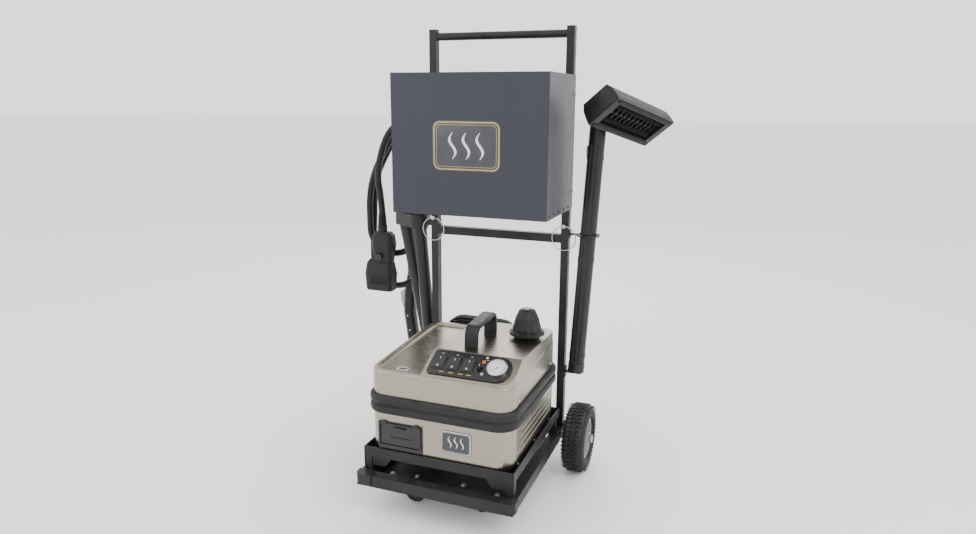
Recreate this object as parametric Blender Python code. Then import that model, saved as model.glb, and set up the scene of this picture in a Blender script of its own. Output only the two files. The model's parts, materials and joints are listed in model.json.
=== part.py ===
# Steam cleaner on a two-wheeled cart: tool bin, wand with floor tool, spare tubes,
# steam hose with gun, and the boiler unit standing in the cart's tray.
# Metres, +Z up, front of the cart towards -Y, right side towards +X.
import bpy
import bmesh
from math import pi, sin, cos, tan, radians, sqrt, atan2
from mathutils import Vector, Matrix

gap = 0.0003              # clearance between pieces that touch

# cart frame
tube = 0.022              # square tube of posts and crossbar
tubeWall = 0.002
postX = 0.2035            # post centre from the middle plane
postTop = 1.273
railSize = 0.028          # square tube of the base
railX = 0.204             # rail centre from the middle plane
railZ = 0.0903            # underside of the base rails
baseFront = -0.4746
railBack = 0.034
crossLow, crossHigh = 0.6797, 0.7041
handleZ, handleR = 1.253, 0.011
deckThick = 0.0032

# wheels
wheelR, wheelWidth = 0.101, 0.065
wheelX, wheelY = 0.2708, -0.019
axleR, axleZ = 0.008, 0.101
casterR, casterWidth = 0.030, 0.020
casterPivotX, casterPivotY = 0.075, -0.360
casterTrail = 0.026

# tray that carries the cleaner
trayX, trayFront, trayBack = 0.2091, -0.4437, -0.022
trayLow, trayHigh, trayThick, trayFlange = 0.158, 0.1844, 0.003, 0.025

# tool bin
binX, binFront, binBack = 0.2168, -0.2372, 0.022
binLow, binHigh, binWall = 0.778, 1.1453, 0.002
pinZ = 0.7295             # height of the two lock pins

# cleaner body
bodyX, bodyFront, bodyBack = 0.197, -0.437, -0.030
bodyCorner, bodyWall = 0.045, 0.002
bodyLow, seam, bodyTop = 0.1613, 0.3075, 0.401
topRise = 0.035           # rise of the top towards the back, per metre
beltLow, beltHigh = 0.286, 0.333
panelTilt = radians(25.8)
panelFoot = (-0.428, 0.4045)      # Y, Z of the control panel's lower edge
panelLeft, panelRight, panelDepth = -0.036, 0.180, 0.085
gaugeX, gaugeUp, gaugeR = 0.1431, 0.046, 0.025
rockerX = (-0.0124, 0.0272, 0.0668)
rockerUp, rockerW, rockerH = 0.0425, 0.030, 0.040
knobX, knobUp = 0.0985, 0.040
lampX, lampUp = 0.1030, 0.0620
platformBack = 0.417      # height of the platform's rear end before the lift
capX, capY = 0.1440, -0.1520
socketX, socketZ = (-0.1640, -0.0440), (0.1910, 0.2580)
flapAxis = (-0.4389, 0.1880)      # Y, Z of the socket flap's hinge

# wand, floor tool and spare tubes
wandR, wandWall = 0.023, 0.0025
wandFoot = (0.2472, 0.011, 0.2951)
wandLean = radians(3.08)
wandLength = 0.716
toolCentre = (0.3704, -0.011, 1.0391)
toolSize = (0.273, 0.104, 0.058)
toolLong = Vector((0.3925, 0.8901, -0.2315))
toolDown = Vector((0.5235, -0.4232, -0.7395))
spareR = 0.021
spareTop = 0.755

# steam hose, connector and gun
hoseR = 0.011
hookX, hookZ, hookR = -0.340, 0.914, 0.0795
hookFront, hookBack = 0.100, 0.200
loopR = 0.0951            # hose centreline on the saddle
hangR = 0.090             # and round the bottom of a hanging loop
plugX, plugTop = -0.448, 0.668
gunX, gunY, gunTop = -0.378, 0.204, 0.520

# mains lead, wound on two horns
cordR = 0.0045
glandX, glandZ, glandLong = 0.095, 0.215, 0.040
hankX, hankZ, hankFront = -0.045, 0.372, -0.0185
hankRun, hankFold = 0.120, 0.042  # straight run and middle radius of the folds
hankWide, hankDeep = 0.036, 0.027


def clear():
    for item in list(bpy.data.objects):
        bpy.data.objects.remove(item, do_unlink=True)


def material(name, color, metallic=0.0, rough=0.5, alpha=1.0):
    mat = bpy.data.materials.new(name)
    mat.use_nodes = True
    node = mat.node_tree.nodes["Principled BSDF"]
    node.inputs["Base Color"].default_value = (*color, 1.0)
    node.inputs["Metallic"].default_value = metallic
    node.inputs["Roughness"].default_value = rough
    node.inputs["Alpha"].default_value = alpha
    return mat


def add(name, bm, mat=None, origin=(0, 0, 0), smooth=False):
    # makes a named object from a mesh built in the shared frame, with its own origin
    bmesh.ops.recalc_face_normals(bm, faces=bm.faces)
    bmesh.ops.translate(bm, verts=bm.verts, vec=-Vector(origin))
    mesh = bpy.data.meshes.new(name)
    bm.to_mesh(mesh)
    bm.free()
    obj = bpy.data.objects.new(name, mesh)
    bpy.context.scene.collection.objects.link(obj)
    obj.location = origin
    if mat:
        mesh.materials.append(mat)
    for face in mesh.polygons:
        face.use_smooth = smooth
    return obj


def box(lo, hi):
    bm = bmesh.new()
    bmesh.ops.create_cube(bm, size=1)
    for v in bm.verts:
        v.co = Vector([(lo[i] if v.co[i] < 0 else hi[i]) for i in range(3)])
    return bm


def prism(outline, low, high, axis="Z"):
    # extrudes a flat outline: axis Z takes (x, y), axis X takes (y, z), axis Y takes (x, z)
    def place(a, b, c):
        return {"Z": (a, b, c), "X": (c, a, b), "Y": (a, c, b)}[axis]
    bm = bmesh.new()
    bottom = [bm.verts.new(place(a, b, low)) for a, b in outline]
    top = [bm.verts.new(place(a, b, high)) for a, b in outline]
    n = len(outline)
    bm.faces.new(bottom[::-1])
    bm.faces.new(top)
    for i in range(n):
        j = (i + 1) % n
        bm.faces.new((bottom[i], bottom[j], top[j], top[i]))
    return bm


def cylinder(start, end, r1, r2=None, segs=24):
    a, b = Vector(start), Vector(end)
    bm = bmesh.new()
    bmesh.ops.create_cone(bm, cap_ends=True, segments=segs, radius1=r1,
                          radius2=r1 if r2 is None else r2, depth=(b - a).length)
    turn = Vector((0, 0, 1)).rotation_difference(b - a).to_matrix().to_4x4()
    bmesh.ops.transform(bm, matrix=Matrix.Translation((a + b) / 2) @ turn, verts=bm.verts)
    return bm


def turned(profile, centre=(0, 0, 0), axis=(0, 0, 1), segs=36, wave=None):
    # closed body of revolution; profile is (radius, height) pairs, open at the axis or a loop
    bm = bmesh.new()
    loop = profile[0][0] > 0 and profile[-1][0] > 0
    rings = []
    for r, h in profile:
        if r == 0:
            rings.append([bm.verts.new((0, 0, h))])
            continue
        ring = []
        for k in range(segs):
            a = 2 * pi * k / segs
            rr = r * (wave(a, h) if wave else 1)
            ring.append(bm.verts.new((rr * cos(a), rr * sin(a), h)))
        rings.append(ring)
    pairs = list(zip(rings, rings[1:])) + ([(rings[-1], rings[0])] if loop else [])
    for low, high in pairs:
        for k in range(segs):
            m = (k + 1) % segs
            if len(low) == 1:
                bm.faces.new((low[0], high[m], high[k]))
            elif len(high) == 1:
                bm.faces.new((low[k], low[m], high[0]))
            else:
                bm.faces.new((low[k], low[m], high[m], high[k]))
    turn = Vector((0, 0, 1)).rotation_difference(Vector(axis)).to_matrix().to_4x4()
    bmesh.ops.transform(bm, matrix=Matrix.Translation(centre) @ turn, verts=bm.verts)
    return bm


def outline(hx, hy, r, n=6):
    # rounded rectangle about the origin, counter-clockwise
    points = []
    for k, (sx, sy) in enumerate(((1, 1), (-1, 1), (-1, -1), (1, -1))):
        for i in range(n + 1):
            a = (k + i / n) * pi / 2
            points.append((sx * (hx - r) + r * cos(a), sy * (hy - r) + r * sin(a)))
    return points


def skirted(profile, hx, hy, r, centreY, loop=False, n=6):
    # sweeps (offset, z) pairs round a rounded rectangle; capped at both ends, or a closed ring
    bm = bmesh.new()
    rings = []
    for d, z in profile:
        rings.append([bm.verts.new((x, y + centreY, z))
                      for x, y in outline(hx + d, hy + d, r + d, n)])
    pairs = list(zip(rings, rings[1:])) + ([(rings[-1], rings[0])] if loop else [])
    m = len(rings[0])
    for a, b in pairs:
        for i in range(m):
            j = (i + 1) % m
            bm.faces.new((a[i], a[j], b[j], b[i]))
    if not loop:
        bm.faces.new(rings[0][::-1])
        bm.faces.new(rings[-1])
    return bm


def swept(path, section, closed=False, up=(0, 0, 1)):
    # carries a flat section (u across, v up) along a path
    pts = [Vector(p) for p in path]
    n = len(pts)
    bm = bmesh.new()
    rings = []
    side = None
    for i, p in enumerate(pts):
        before = pts[(i - 1) % n] if closed or i else p
        after = pts[(i + 1) % n] if closed or i < n - 1 else p
        t = (after - before).normalized()
        if side is None:
            side = t.cross(Vector(up)).normalized()
        else:
            side = (side - t * side.dot(t)).normalized()
        v = side.cross(t)
        scale = 1.0
        if closed or 0 < i < n - 1:
            d1, d2 = (p - before).normalized(), (after - p).normalized()
            scale = 1 / max(0.5, sqrt((1 + d1.dot(d2)) / 2))
        bend = ((after - p).normalized() - (p - before).normalized()) if scale > 1 else Vector()
        ring = []
        for a, b in section:
            off = side * a + v * b
            if bend.length > 1e-6:
                w = bend.normalized()
                off += w * off.dot(w) * (scale - 1)
            ring.append(bm.verts.new(p + off))
        rings.append(ring)
    m = len(section)
    pairs = list(zip(rings, rings[1:])) + ([(rings[-1], rings[0])] if closed else [])
    for a, b in pairs:
        for i in range(m):
            j = (i + 1) % m
            bm.faces.new((a[i], a[j], b[j], b[i]))
    if not closed:
        bm.faces.new(rings[0][::-1])
        bm.faces.new(rings[-1])
    return bm


def circle(r, n=12):
    return [(r * cos(2 * pi * k / n), r * sin(2 * pi * k / n)) for k in range(n)]


def rect(w, h):
    return [(-w / 2, -h / 2), (w / 2, -h / 2), (w / 2, h / 2), (-w / 2, h / 2)]


def rounded(points, r, n=5):
    # a route through points with its corners turned to radius r
    pts = [Vector(p) for p in points]
    out = [pts[0]]
    for a, p, b in zip(pts, pts[1:], pts[2:]):
        u, v = (a - p).normalized(), (b - p).normalized()
        half = u.angle(v) / 2
        d = min(r / tan(half), (a - p).length * 0.49, (b - p).length * 0.49)
        rr = d * tan(half)
        centre = p + (u + v).normalized() * rr / sin(half)
        s, e = p + u * d - centre, p + v * d - centre
        for k in range(n + 1):
            out.append(centre + s.normalized().slerp(e.normalized(), k / n) * rr)
    out.append(pts[-1])
    return out


def smooth(points, step):
    # evenly spaced points on a Catmull-Rom curve through a hand-chosen route
    pts = [Vector(p) for p in points]
    pts = [2 * pts[0] - pts[1]] + pts + [2 * pts[-1] - pts[-2]]
    fine = []
    for p0, p1, p2, p3 in zip(pts, pts[1:], pts[2:], pts[3:]):
        for k in range(24):
            t = k / 24
            fine.append(0.5 * (2 * p1 + (p2 - p0) * t + (2 * p0 - 5 * p1 + 4 * p2 - p3) * t * t
                               + (3 * p1 - p0 - 3 * p2 + p3) * t ** 3))
    fine.append(pts[-2])
    total = sum((b - a).length for a, b in zip(fine, fine[1:]))
    count = max(2, round(total / step))
    out, walked, want = [fine[0]], 0.0, total / count
    for a, b in zip(fine, fine[1:]):
        d = (b - a).length
        while walked + d >= want * len(out) - 1e-9 and len(out) < count:
            out.append(a + (b - a) * ((want * len(out) - walked) / d))
        walked += d
    out.append(fine[-1])
    return out, total


def tubeCurve(name, points, radius, mat, resolution=3):
    curve = bpy.data.curves.new(name, "CURVE")
    curve.dimensions = "3D"
    curve.bevel_depth = radius
    curve.bevel_resolution = resolution
    curve.use_fill_caps = True
    spline = curve.splines.new("POLY")
    spline.points.add(len(points) - 1)
    for slot, p in zip(spline.points, points):
        slot.co = (*p, 1)
    curve.materials.append(mat)
    obj = bpy.data.objects.new(name, curve)
    bpy.context.scene.collection.objects.link(obj)
    return obj


def settle(obj):
    # turns the object's modifiers into its mesh
    graph = bpy.context.evaluated_depsgraph_get()
    graph.update()
    mesh = bpy.data.meshes.new_from_object(obj.evaluated_get(graph))
    obj.modifiers.clear()
    obj.data = mesh
    return obj


def boolean(obj, pieces, how):
    for bm in pieces:
        tool = add("tool", bm)
        mod = obj.modifiers.new("cut", "BOOLEAN")
        mod.operation = how
        mod.solver = "EXACT"
        mod.object = tool
        settle(obj)
        bpy.data.objects.remove(tool, do_unlink=True)
    return obj


def less(obj, *pieces):
    return boolean(obj, pieces, "DIFFERENCE")


def plus(obj, *pieces):
    return boolean(obj, pieces, "UNION")


def within(obj, *pieces):
    return boolean(obj, pieces, "INTERSECT")


def soften(obj, width, segments=3, angle=35):
    mod = obj.modifiers.new("edge", "BEVEL")
    mod.width = width
    mod.segments = segments
    mod.limit_method = "ANGLE"
    mod.angle_limit = radians(angle)
    mod.use_clamp_overlap = True
    return settle(obj)


def shade(obj, angle=40):
    # smooth shading that keeps the sharp edges
    mesh = obj.data
    for face in mesh.polygons:
        face.use_smooth = True
    mesh.set_sharp_from_angle(angle=radians(angle))
    return obj


def hollowBar(name, lo, hi, axis, mat, wall=tubeWall, ends=(True, True)):
    # square tube along one axis; ends says which of its two ends are open
    obj = add(name, box(lo, hi), mat)
    a, b = list(lo), list(hi)
    for i in range(3):
        if i == axis:
            a[i] = lo[i] - 0.01 if ends[0] else lo[i] + wall
            b[i] = hi[i] + 0.01 if ends[1] else hi[i] - wall
        else:
            a[i], b[i] = lo[i] + wall, hi[i] - wall
    return less(obj, box(a, b))


def sides():
    return (("left", -1), ("right", 1))


def span(x1, x2):
    return min(x1, x2), max(x1, x2)


# ---------------------------------------------------------------- cart
def makePosts(mat):
    half = tube / 2
    for side, s in sides():
        x = s * postX
        post = hollowBar("post_" + side, (x - half, 0, railZ + railSize + gap),
                         (x + half, tube, postTop), 2, mat, ends=(True, False))
        less(post, cylinder((x, -0.01, pinZ), (x, 0.04, pinZ), 0.0034, segs=16))


def makeBars(mat):
    inner = postX - tube / 2 - gap
    bar = add("handle_bar", cylinder((-inner, tube / 2, handleZ), (inner, tube / 2, handleZ),
                                     handleR), mat)
    shade(less(bar, cylinder((-1, tube / 2, handleZ), (1, tube / 2, handleZ),
                             handleR - tubeWall)))
    hollowBar("mid_crossbar", (-inner, 0.0005, crossLow), (inner, tube - 0.0005, crossHigh),
              0, mat)


def makeBase(mat):
    h = railSize / 2
    top = railZ + railSize
    for side, s in sides():
        x = s * railX
        rail = hollowBar("base_rail_" + side, (x - h, baseFront + railSize + gap, railZ),
                         (x + h, railBack, top), 1, mat, 0.0025, (False, True))
        less(rail, cylinder((x - 0.05, wheelY, axleZ), (x + 0.05, wheelY, axleZ), axleR + gap))
    edge = railX + h
    front = add("base_front_bar", box((-edge + 0.004, baseFront, railZ),
                                      (edge - 0.004, baseFront + railSize, top)), mat)
    for side, s in sides():
        out, cut = s * (edge + 0.0035), 0.012
        corner = [(s * 0.174, baseFront - 0.003), (out - s * cut, baseFront - 0.003),
                  (out, baseFront - 0.003 + cut), (out, baseFront + railSize),
                  (s * 0.174, baseFront + railSize)]
        plus(front, prism(corner, railZ + 0.0001, top + 0.0015))
    less(front, box((-edge + 0.03, baseFront + 0.003, railZ - 0.01),
                    (edge - 0.03, baseFront + railSize - 0.003, top - 0.003)))
    inner = railX - h - gap
    hollowBar("base_rear_bar", (-inner, railBack - railSize, railZ), (inner, railBack, top),
              0, mat, 0.0025)


def makeDeck(mat):
    low = railZ - gap - deckThick
    edge = railX + railSize / 2 - 0.0005
    deck = add("deck_plate", box((-edge, baseFront + 0.0005, low),
                                 (edge, -0.036, railZ - gap)), mat)
    for s in (-1, 1):
        x, y = s * casterPivotX, casterPivotY
        plus(deck, cylinder((x, y, low - 0.008), (x, y, low + 0.001), 0.017, segs=24))
        less(deck, cylinder((x, y, low - 0.02), (x, y, low + 0.001), 0.0046, segs=20))
    return shade(deck)


def makeTray(mat):
    x, t, f = trayX, trayThick, trayFlange
    tray = add("tray_frame", box((-x, trayFront, trayLow), (x, trayBack, trayHigh)), mat)
    less(tray, box((-x + t, trayFront + t, trayLow + t), (x - t, trayBack - t, 0.2)),
         box((-x + f, trayFront + f, 0.1), (x - f, trayBack - f, 0.2)))
    foot = railZ + railSize + gap
    for s in (-1, 1):
        a, b = span(s * 0.188, s * 0.208)
        for y in (trayFront + 0.0012, trayBack - 0.038):
            plus(tray, box((a, y, foot), (b, y + 0.020, trayLow + 0.001)))
        wing = [(s * 0.189, trayLow - 0.026), (s * 0.150, trayLow - 0.026),
                (s * 0.130, trayLow + 0.001), (s * 0.189, trayLow + 0.001)]
        plus(tray, prism(wing, trayFront + 0.004, trayFront + 0.008, "Y"))
    return tray


def makeAxle(mat):
    reach = wheelX + 0.0405
    axle = add("axle", cylinder((-reach, wheelY, axleZ), (reach, wheelY, axleZ), axleR), mat)
    for s in (-1, 1):
        x = s * (wheelX + 0.0305)
        plus(axle, cylinder((x, wheelY, axleZ), (x + s * 0.009, wheelY, axleZ), 0.012, segs=24))
    return shade(axle)


def makeWheels(rubber, metal):
    w = wheelWidth / 2
    rim = 0.062
    for side, s in sides():
        centre = (s * wheelX, wheelY, axleZ)
        tread = [(rim, -w + 0.008), (rim + 0.010, -w), (wheelR - 0.014, -w),
                 (wheelR - 0.004, -w + 0.005), (wheelR, -w + 0.016), (wheelR, w - 0.016),
                 (wheelR - 0.004, w - 0.005), (wheelR - 0.014, w), (rim + 0.010, w),
                 (rim, w - 0.008)]
        tyre = add("tyre_" + side, turned(tread, centre, (s, 0, 0), 44), rubber, centre)
        shade(tyre, 60)
        b = axleR + gap
        disc = [(b, -w + 0.004), (0.017, -w + 0.004), (0.019, -0.010), (0.045, -0.006),
                (0.050, -w + 0.010), (rim - gap, -w + 0.009), (rim - gap, w - 0.009),
                (0.053, w - 0.010), (0.048, 0.004), (0.022, 0.000), (0.018, w - 0.0025),
                (b, w - 0.0025)]
        shade(add("rim_" + side, turned(disc, centre, (s, 0, 0), 32), metal, centre), 30)


def makeCasters(metal, rubber):
    low = railZ - gap - deckThick - 0.008
    for side, s, turn in (("left", -1, pi), ("right", 1, radians(50))):
        pivot = Vector((s * casterPivotX, casterPivotY, 0))
        ahead = Vector((cos(turn), sin(turn), 0))
        across = Vector((-sin(turn), cos(turn), 0))
        hub = pivot + ahead * casterTrail + Vector((0, 0, casterR))
        fork = add("caster_fork_" + side,
                   cylinder(pivot + Vector((0, 0, low - 0.0045)),
                            pivot + Vector((0, 0, low - gap)), 0.018, segs=24), metal)
        plus(fork, cylinder(pivot + Vector((0, 0, low - 0.002)),
                            pivot + Vector((0, 0, low + 0.0078)), 0.0043, segs=20))
        for k in (-1, 1):
            leg = [pivot + across * k * 0.0135 + Vector((0, 0, low - 0.0038)),
                   pivot + across * k * 0.0135 + ahead * 0.004 + Vector((0, 0, low - 0.012)),
                   hub + across * k * 0.0135 - Vector((0, 0, 0.006))]
            plus(fork, swept(leg, rect(0.0025, 0.016), up=ahead))
        plus(fork, cylinder(hub - across * 0.0165, hub + across * 0.0165, 0.003, segs=16))
        shade(move(fork, pivot))
        w = casterWidth / 2
        disc = [(0.0033, -w), (0.013, -w), (0.014, -w + 0.002), (0.022, -w + 0.002),
                (casterR - 0.003, -w), (casterR, -w + 0.004), (casterR, w - 0.004),
                (casterR - 0.003, w), (0.022, w - 0.002), (0.014, w - 0.002), (0.013, w),
                (0.0033, w)]
        shade(add("caster_wheel_" + side, turned(disc, hub, across, 24), rubber, hub), 40)


def move(obj, origin):
    # puts the object's origin at a point without moving its mesh in space
    d = Vector(origin) - obj.location
    obj.data.transform(Matrix.Translation(-d))
    obj.location = Vector(origin)
    return obj


def makeBin(mat):
    w = binWall
    tub = add("tool_bin", box((-binX, binFront, binLow), (binX, binBack, binHigh)), mat)
    less(tub, box((-binX + w, binFront + w, binLow + w), (binX - w, -w - gap, 2)),
         box((-binX + w, -gap, 0), (binX - w, 1, 2)))
    return tub


def makeLockPins(metal, wire):
    ringR = 0.0345
    for side, s in sides():
        x = s * postX
        pin = add("lock_pin_" + side, cylinder((x, -0.006, pinZ), (x, 0.036, pinZ), 0.003,
                                               segs=16), metal)
        plus(pin, box((x - 0.004, -0.0135, pinZ - 0.005), (x + 0.004, -0.0012, pinZ + 0.005)))
        less(pin, cylinder((x - 0.01, -0.0085, pinZ), (x + 0.01, -0.0085, pinZ), 0.0026,
                           segs=16))
        top = Vector((x, -0.0085, pinZ))
        path = [top + Vector((ringR * sin(a), 0, ringR * (cos(a) - 1)))
                for a in [2 * pi * k / 28 for k in range(28)]]
        add("pin_ring_" + side, swept(path, circle(0.0015, 6), True, (0, 1, 0)), wire, top, True)


def wandAt(z):
    # point on the wand's axis at a height
    return Vector((wandFoot[0] + (z - wandFoot[2]) * tan(wandLean), wandFoot[1], z))


def makeWandHolder(mat):
    face = postX + tube / 2 + gap
    c = wandAt(0.7057)
    path = [c + Vector((0.0305 * cos(a), 0.0305 * sin(a), 0))
            for a in [2 * pi * k / 30 for k in range(30)]]
    ring = add("wand_ring", swept(path, circle(0.003, 8), True), mat)
    plus(ring, cylinder((face, c.y, c.z), (c.x - 0.029, c.y, c.z), 0.0032, segs=12),
         box((face, 0.001, c.z - 0.012), (face + 0.003, 0.021, c.z + 0.012)))
    shade(ring)
    foot = wandFoot[2] - 0.0016
    peg = add("wand_peg", box((face, 0.003, foot - 0.005), (0.262, 0.019, foot)), mat)
    plus(peg, box((face, 0.0005, foot - 0.020), (face + 0.003, 0.0215, foot + 0.012)),
         cylinder((wandFoot[0] + 0.0005, wandFoot[1], foot - 0.002),
                  (wandFoot[0] + 0.0015, wandFoot[1], foot + 0.030), 0.010, 0.008, 20))
    shade(peg)


def makeWand(mat):
    up = Vector((sin(wandLean), 0, cos(wandLean)))
    foot = Vector(wandFoot)
    top = foot + up * wandLength
    wand = add("wand", cylinder(foot, top, wandR, segs=32), mat)
    for k in (-1, 1):
        side = Vector((k * 0.009, -0.0208, 0))
        plus(wand, swept([foot + side + up * 0.03, top + side - up * 0.05], rect(0.005, 0.005),
                         up=(0, 1, 0)))
    plus(wand, cylinder(foot, foot + up * 0.028, wandR + 0.0012, segs=32))
    less(wand, cylinder(foot - up * 0.01, top + up * 0.01, wandR - wandWall, segs=32))
    shade(wand)
    return top, up


def toolPivot():
    roof = Vector(toolCentre) - toolDown.normalized() * toolSize[2] / 2
    return roof - toolDown.normalized() * 0.020


def makeTool(plastic, top, up):
    long = toolLong.normalized()
    down = (toolDown - long * toolDown.dot(long)).normalized()
    across = down.cross(long)
    centre = Vector(toolCentre)
    pivot = toolPivot()
    turn = Matrix((long, across, down)).transposed().to_4x4()

    def local(bm):
        bmesh.ops.transform(bm, matrix=Matrix.Translation(centre) @ turn, verts=bm.verts)
        return bm
    hl, hw, hh = (v / 2 for v in toolSize)
    tool = add("floor_tool", local(prism(
        [(-hw + 0.012, -hh), (hw - 0.012, -hh), (hw - 0.003, -0.010), (hw, hh - 0.014),
         (hw, hh), (-hw, hh), (-hw, hh - 0.014), (-hw + 0.003, -0.010)], -hl, hl, "X")), plastic)
    less(tool, local(box((-hl + 0.022, -hw + 0.016, hh - 0.022), (hl - 0.022, hw - 0.016, 0.1))))
    ear = -hh - 0.020
    for k in (-1, 1):
        a, b = span(k * 0.0235, k * 0.0300)
        plus(tool, local(prism([(-0.016, -hh + 0.004), (-0.010, ear - 0.008), (0.010, ear - 0.008),
                                (0.016, -hh + 0.004)], a, b, "X")))
    plus(tool, local(cylinder((-0.026, 0, ear), (0.026, 0, ear), 0.005, segs=20)),
         local(box((-hl + 0.012, -hw + 0.006, -hh - 0.007), (hl - 0.060 - 0.16, hw - 0.02, -hh + 0.003))),
         local(box((hl - 0.075, -hw + 0.006, -hh - 0.007), (hl - 0.012, hw - 0.02, -hh + 0.003))))
    shade(move(tool, pivot))
    # swivel neck between the wand's end and the pivot
    way = rounded([top + up * gap, top + up * 0.047, pivot + Vector((-0.030, 0.0008, 0.004)),
                   pivot], 0.022)
    neck = add("tool_neck", swept(way[:-1] + [pivot], circle(0.0160, 16)), plastic)
    plus(neck, cylinder(top + up * gap, top + up * 0.030, 0.0255, 0.0225, 24),
         cylinder(top - up * 0.030, top + up * 0.004, wandR - wandWall - 0.0006, segs=24),
         cylinder(pivot - long * 0.0225, pivot + long * 0.0225, 0.0125, segs=24))
    less(neck, cylinder(pivot - long * 0.05, pivot + long * 0.05, 0.0053, segs=20))
    shade(neck)


# ---------------------------------------------------------------- left rack and spare tubes
def spareAxis(which, z):
    if which == "a":
        return Vector((-0.3300 - (z - 0.645) * 0.1944, 0.075, z))
    return Vector((-0.2665 - (z - 0.651) * 0.0839, 0.033, z))


def makeSpares(mat):
    for which, foot in (("a", 0.2915), ("b", 0.2893)):
        low, high = spareAxis(which, foot), spareAxis(which, spareTop)
        t = (high - low).normalized()
        pipe = add("spare_tube_" + which, cylinder(low, high, spareR - 0.0008, segs=24), mat)
        plus(pipe, cylinder(low, low + t * 0.030, spareR, segs=24),
             cylinder(high - t * 0.085, high, spareR, segs=24))
        less(pipe, cylinder(low - t, high + t, spareR - 0.003, segs=24))
        shade(pipe)


def stadium(p, q, r, n=14):
    d = (q - p).normalized()
    a0 = atan2(d.y, d.x)
    pts = []
    for centre, start in ((q, a0 - pi / 2), (p, a0 + pi / 2)):
        for k in range(n + 1):
            a = start + pi * k / n
            pts.append((centre.x + r * cos(a), centre.y + r * sin(a)))
    return pts


def makeRack(mat):
    face = tube + gap
    inner, outer = -postX + tube / 2, -postX - tube / 2
    strip = add("left_rack", box((outer, face, 0.262), (inner, face + 0.003, 1.000)), mat)
    p, q = spareAxis("a", 0.71), spareAxis("b", 0.71)
    plus(strip, prism(stadium(p, q, 0.0290), 0.690, 0.730),
         box((q.x, face, 0.700), (inner, face + 0.006, 0.722)))
    less(strip, prism(stadium(p, q, 0.0264), 0.6, 0.8))
    plus(strip, box((-0.290, face, 0.282), (inner, 0.099, 0.2866)),
         box((-0.2885, 0.052, 0.286), (-0.2865, 0.098, 0.296)))
    less(strip, cylinder((-postX, 0, pinZ), (-postX, 0.04, pinZ), 0.0036, segs=16))
    # saddle for the hose
    c, r, t = Vector((hookX, 0, hookZ)), hookR, 0.004
    arc = [c + Vector((r * cos(radians(a)), 0, r * sin(radians(a)))) for a in range(38, 143, 8)]
    low = [c + Vector(((r - t) * cos(radians(a)), 0, (r - t) * sin(radians(a))))
           for a in range(38, 143, 8)]
    rim = [c + Vector(((r + 0.018) * cos(radians(a)), 0, (r + 0.018) * sin(radians(a))))
           for a in range(62, 119, 8)]
    rimLow = [c + Vector(((r - 0.002) * cos(radians(a)), 0, (r - 0.002) * sin(radians(a))))
              for a in range(62, 119, 8)]
    flat = [(v.x, v.z) for v in arc] + [(v.x, v.z) for v in reversed(low)]
    lip = [(v.x, v.z) for v in rim] + [(v.x, v.z) for v in reversed(rimLow)]
    arm = hookX + 0.038
    plus(strip, box((arm, face, 0.960), (inner, face + 0.006, 0.985)),
         box((arm, face, 0.960), (arm + 0.020, hookFront + 0.010, 0.972)),
         prism(flat, hookFront, hookBack, "Y"), prism(lip, hookBack - 0.003, hookBack, "Y"))
    return shade(strip, 30)


# ---------------------------------------------------------------- cleaner
def lift(obj):
    # gives the top its slight rise towards the back
    for v in obj.data.vertices:
        p = obj.matrix_world @ v.co
        k = min(1.0, max(0.0, (p.z - 0.336) / 0.05))
        v.co.z += (p.y - bodyFront) * topRise * k
    obj.data.update()
    return obj


def raised(y):
    return (y - bodyFront) * topRise


def slopePoint(x, along, out=0.0):
    # point on the control slope, before the lift
    y = panelFoot[0] + along * cos(panelTilt) - out * sin(panelTilt)
    z = panelFoot[1] + along * sin(panelTilt) + out * cos(panelTilt)
    return Vector((x, y, z))


def platform(inset):
    # raised right-hand part of the top, with the control slope in front
    foot = slopePoint(0, -0.002, -inset)
    head = slopePoint(0, 0.090, -inset)
    top = head.z
    points = [(foot.y, 0.375), (foot.y, foot.z), (head.y, top),
              (bodyBack - 0.002 - inset, platformBack - inset), (bodyBack - 0.002 - inset, 0.375)]
    bm = prism(points, -0.046 + inset, 0.30, "X")
    for v in bm.verts:
        if v.co.x < 0 and v.co.z < 0.38:
            v.co.x -= 0.040
    return bm


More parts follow.
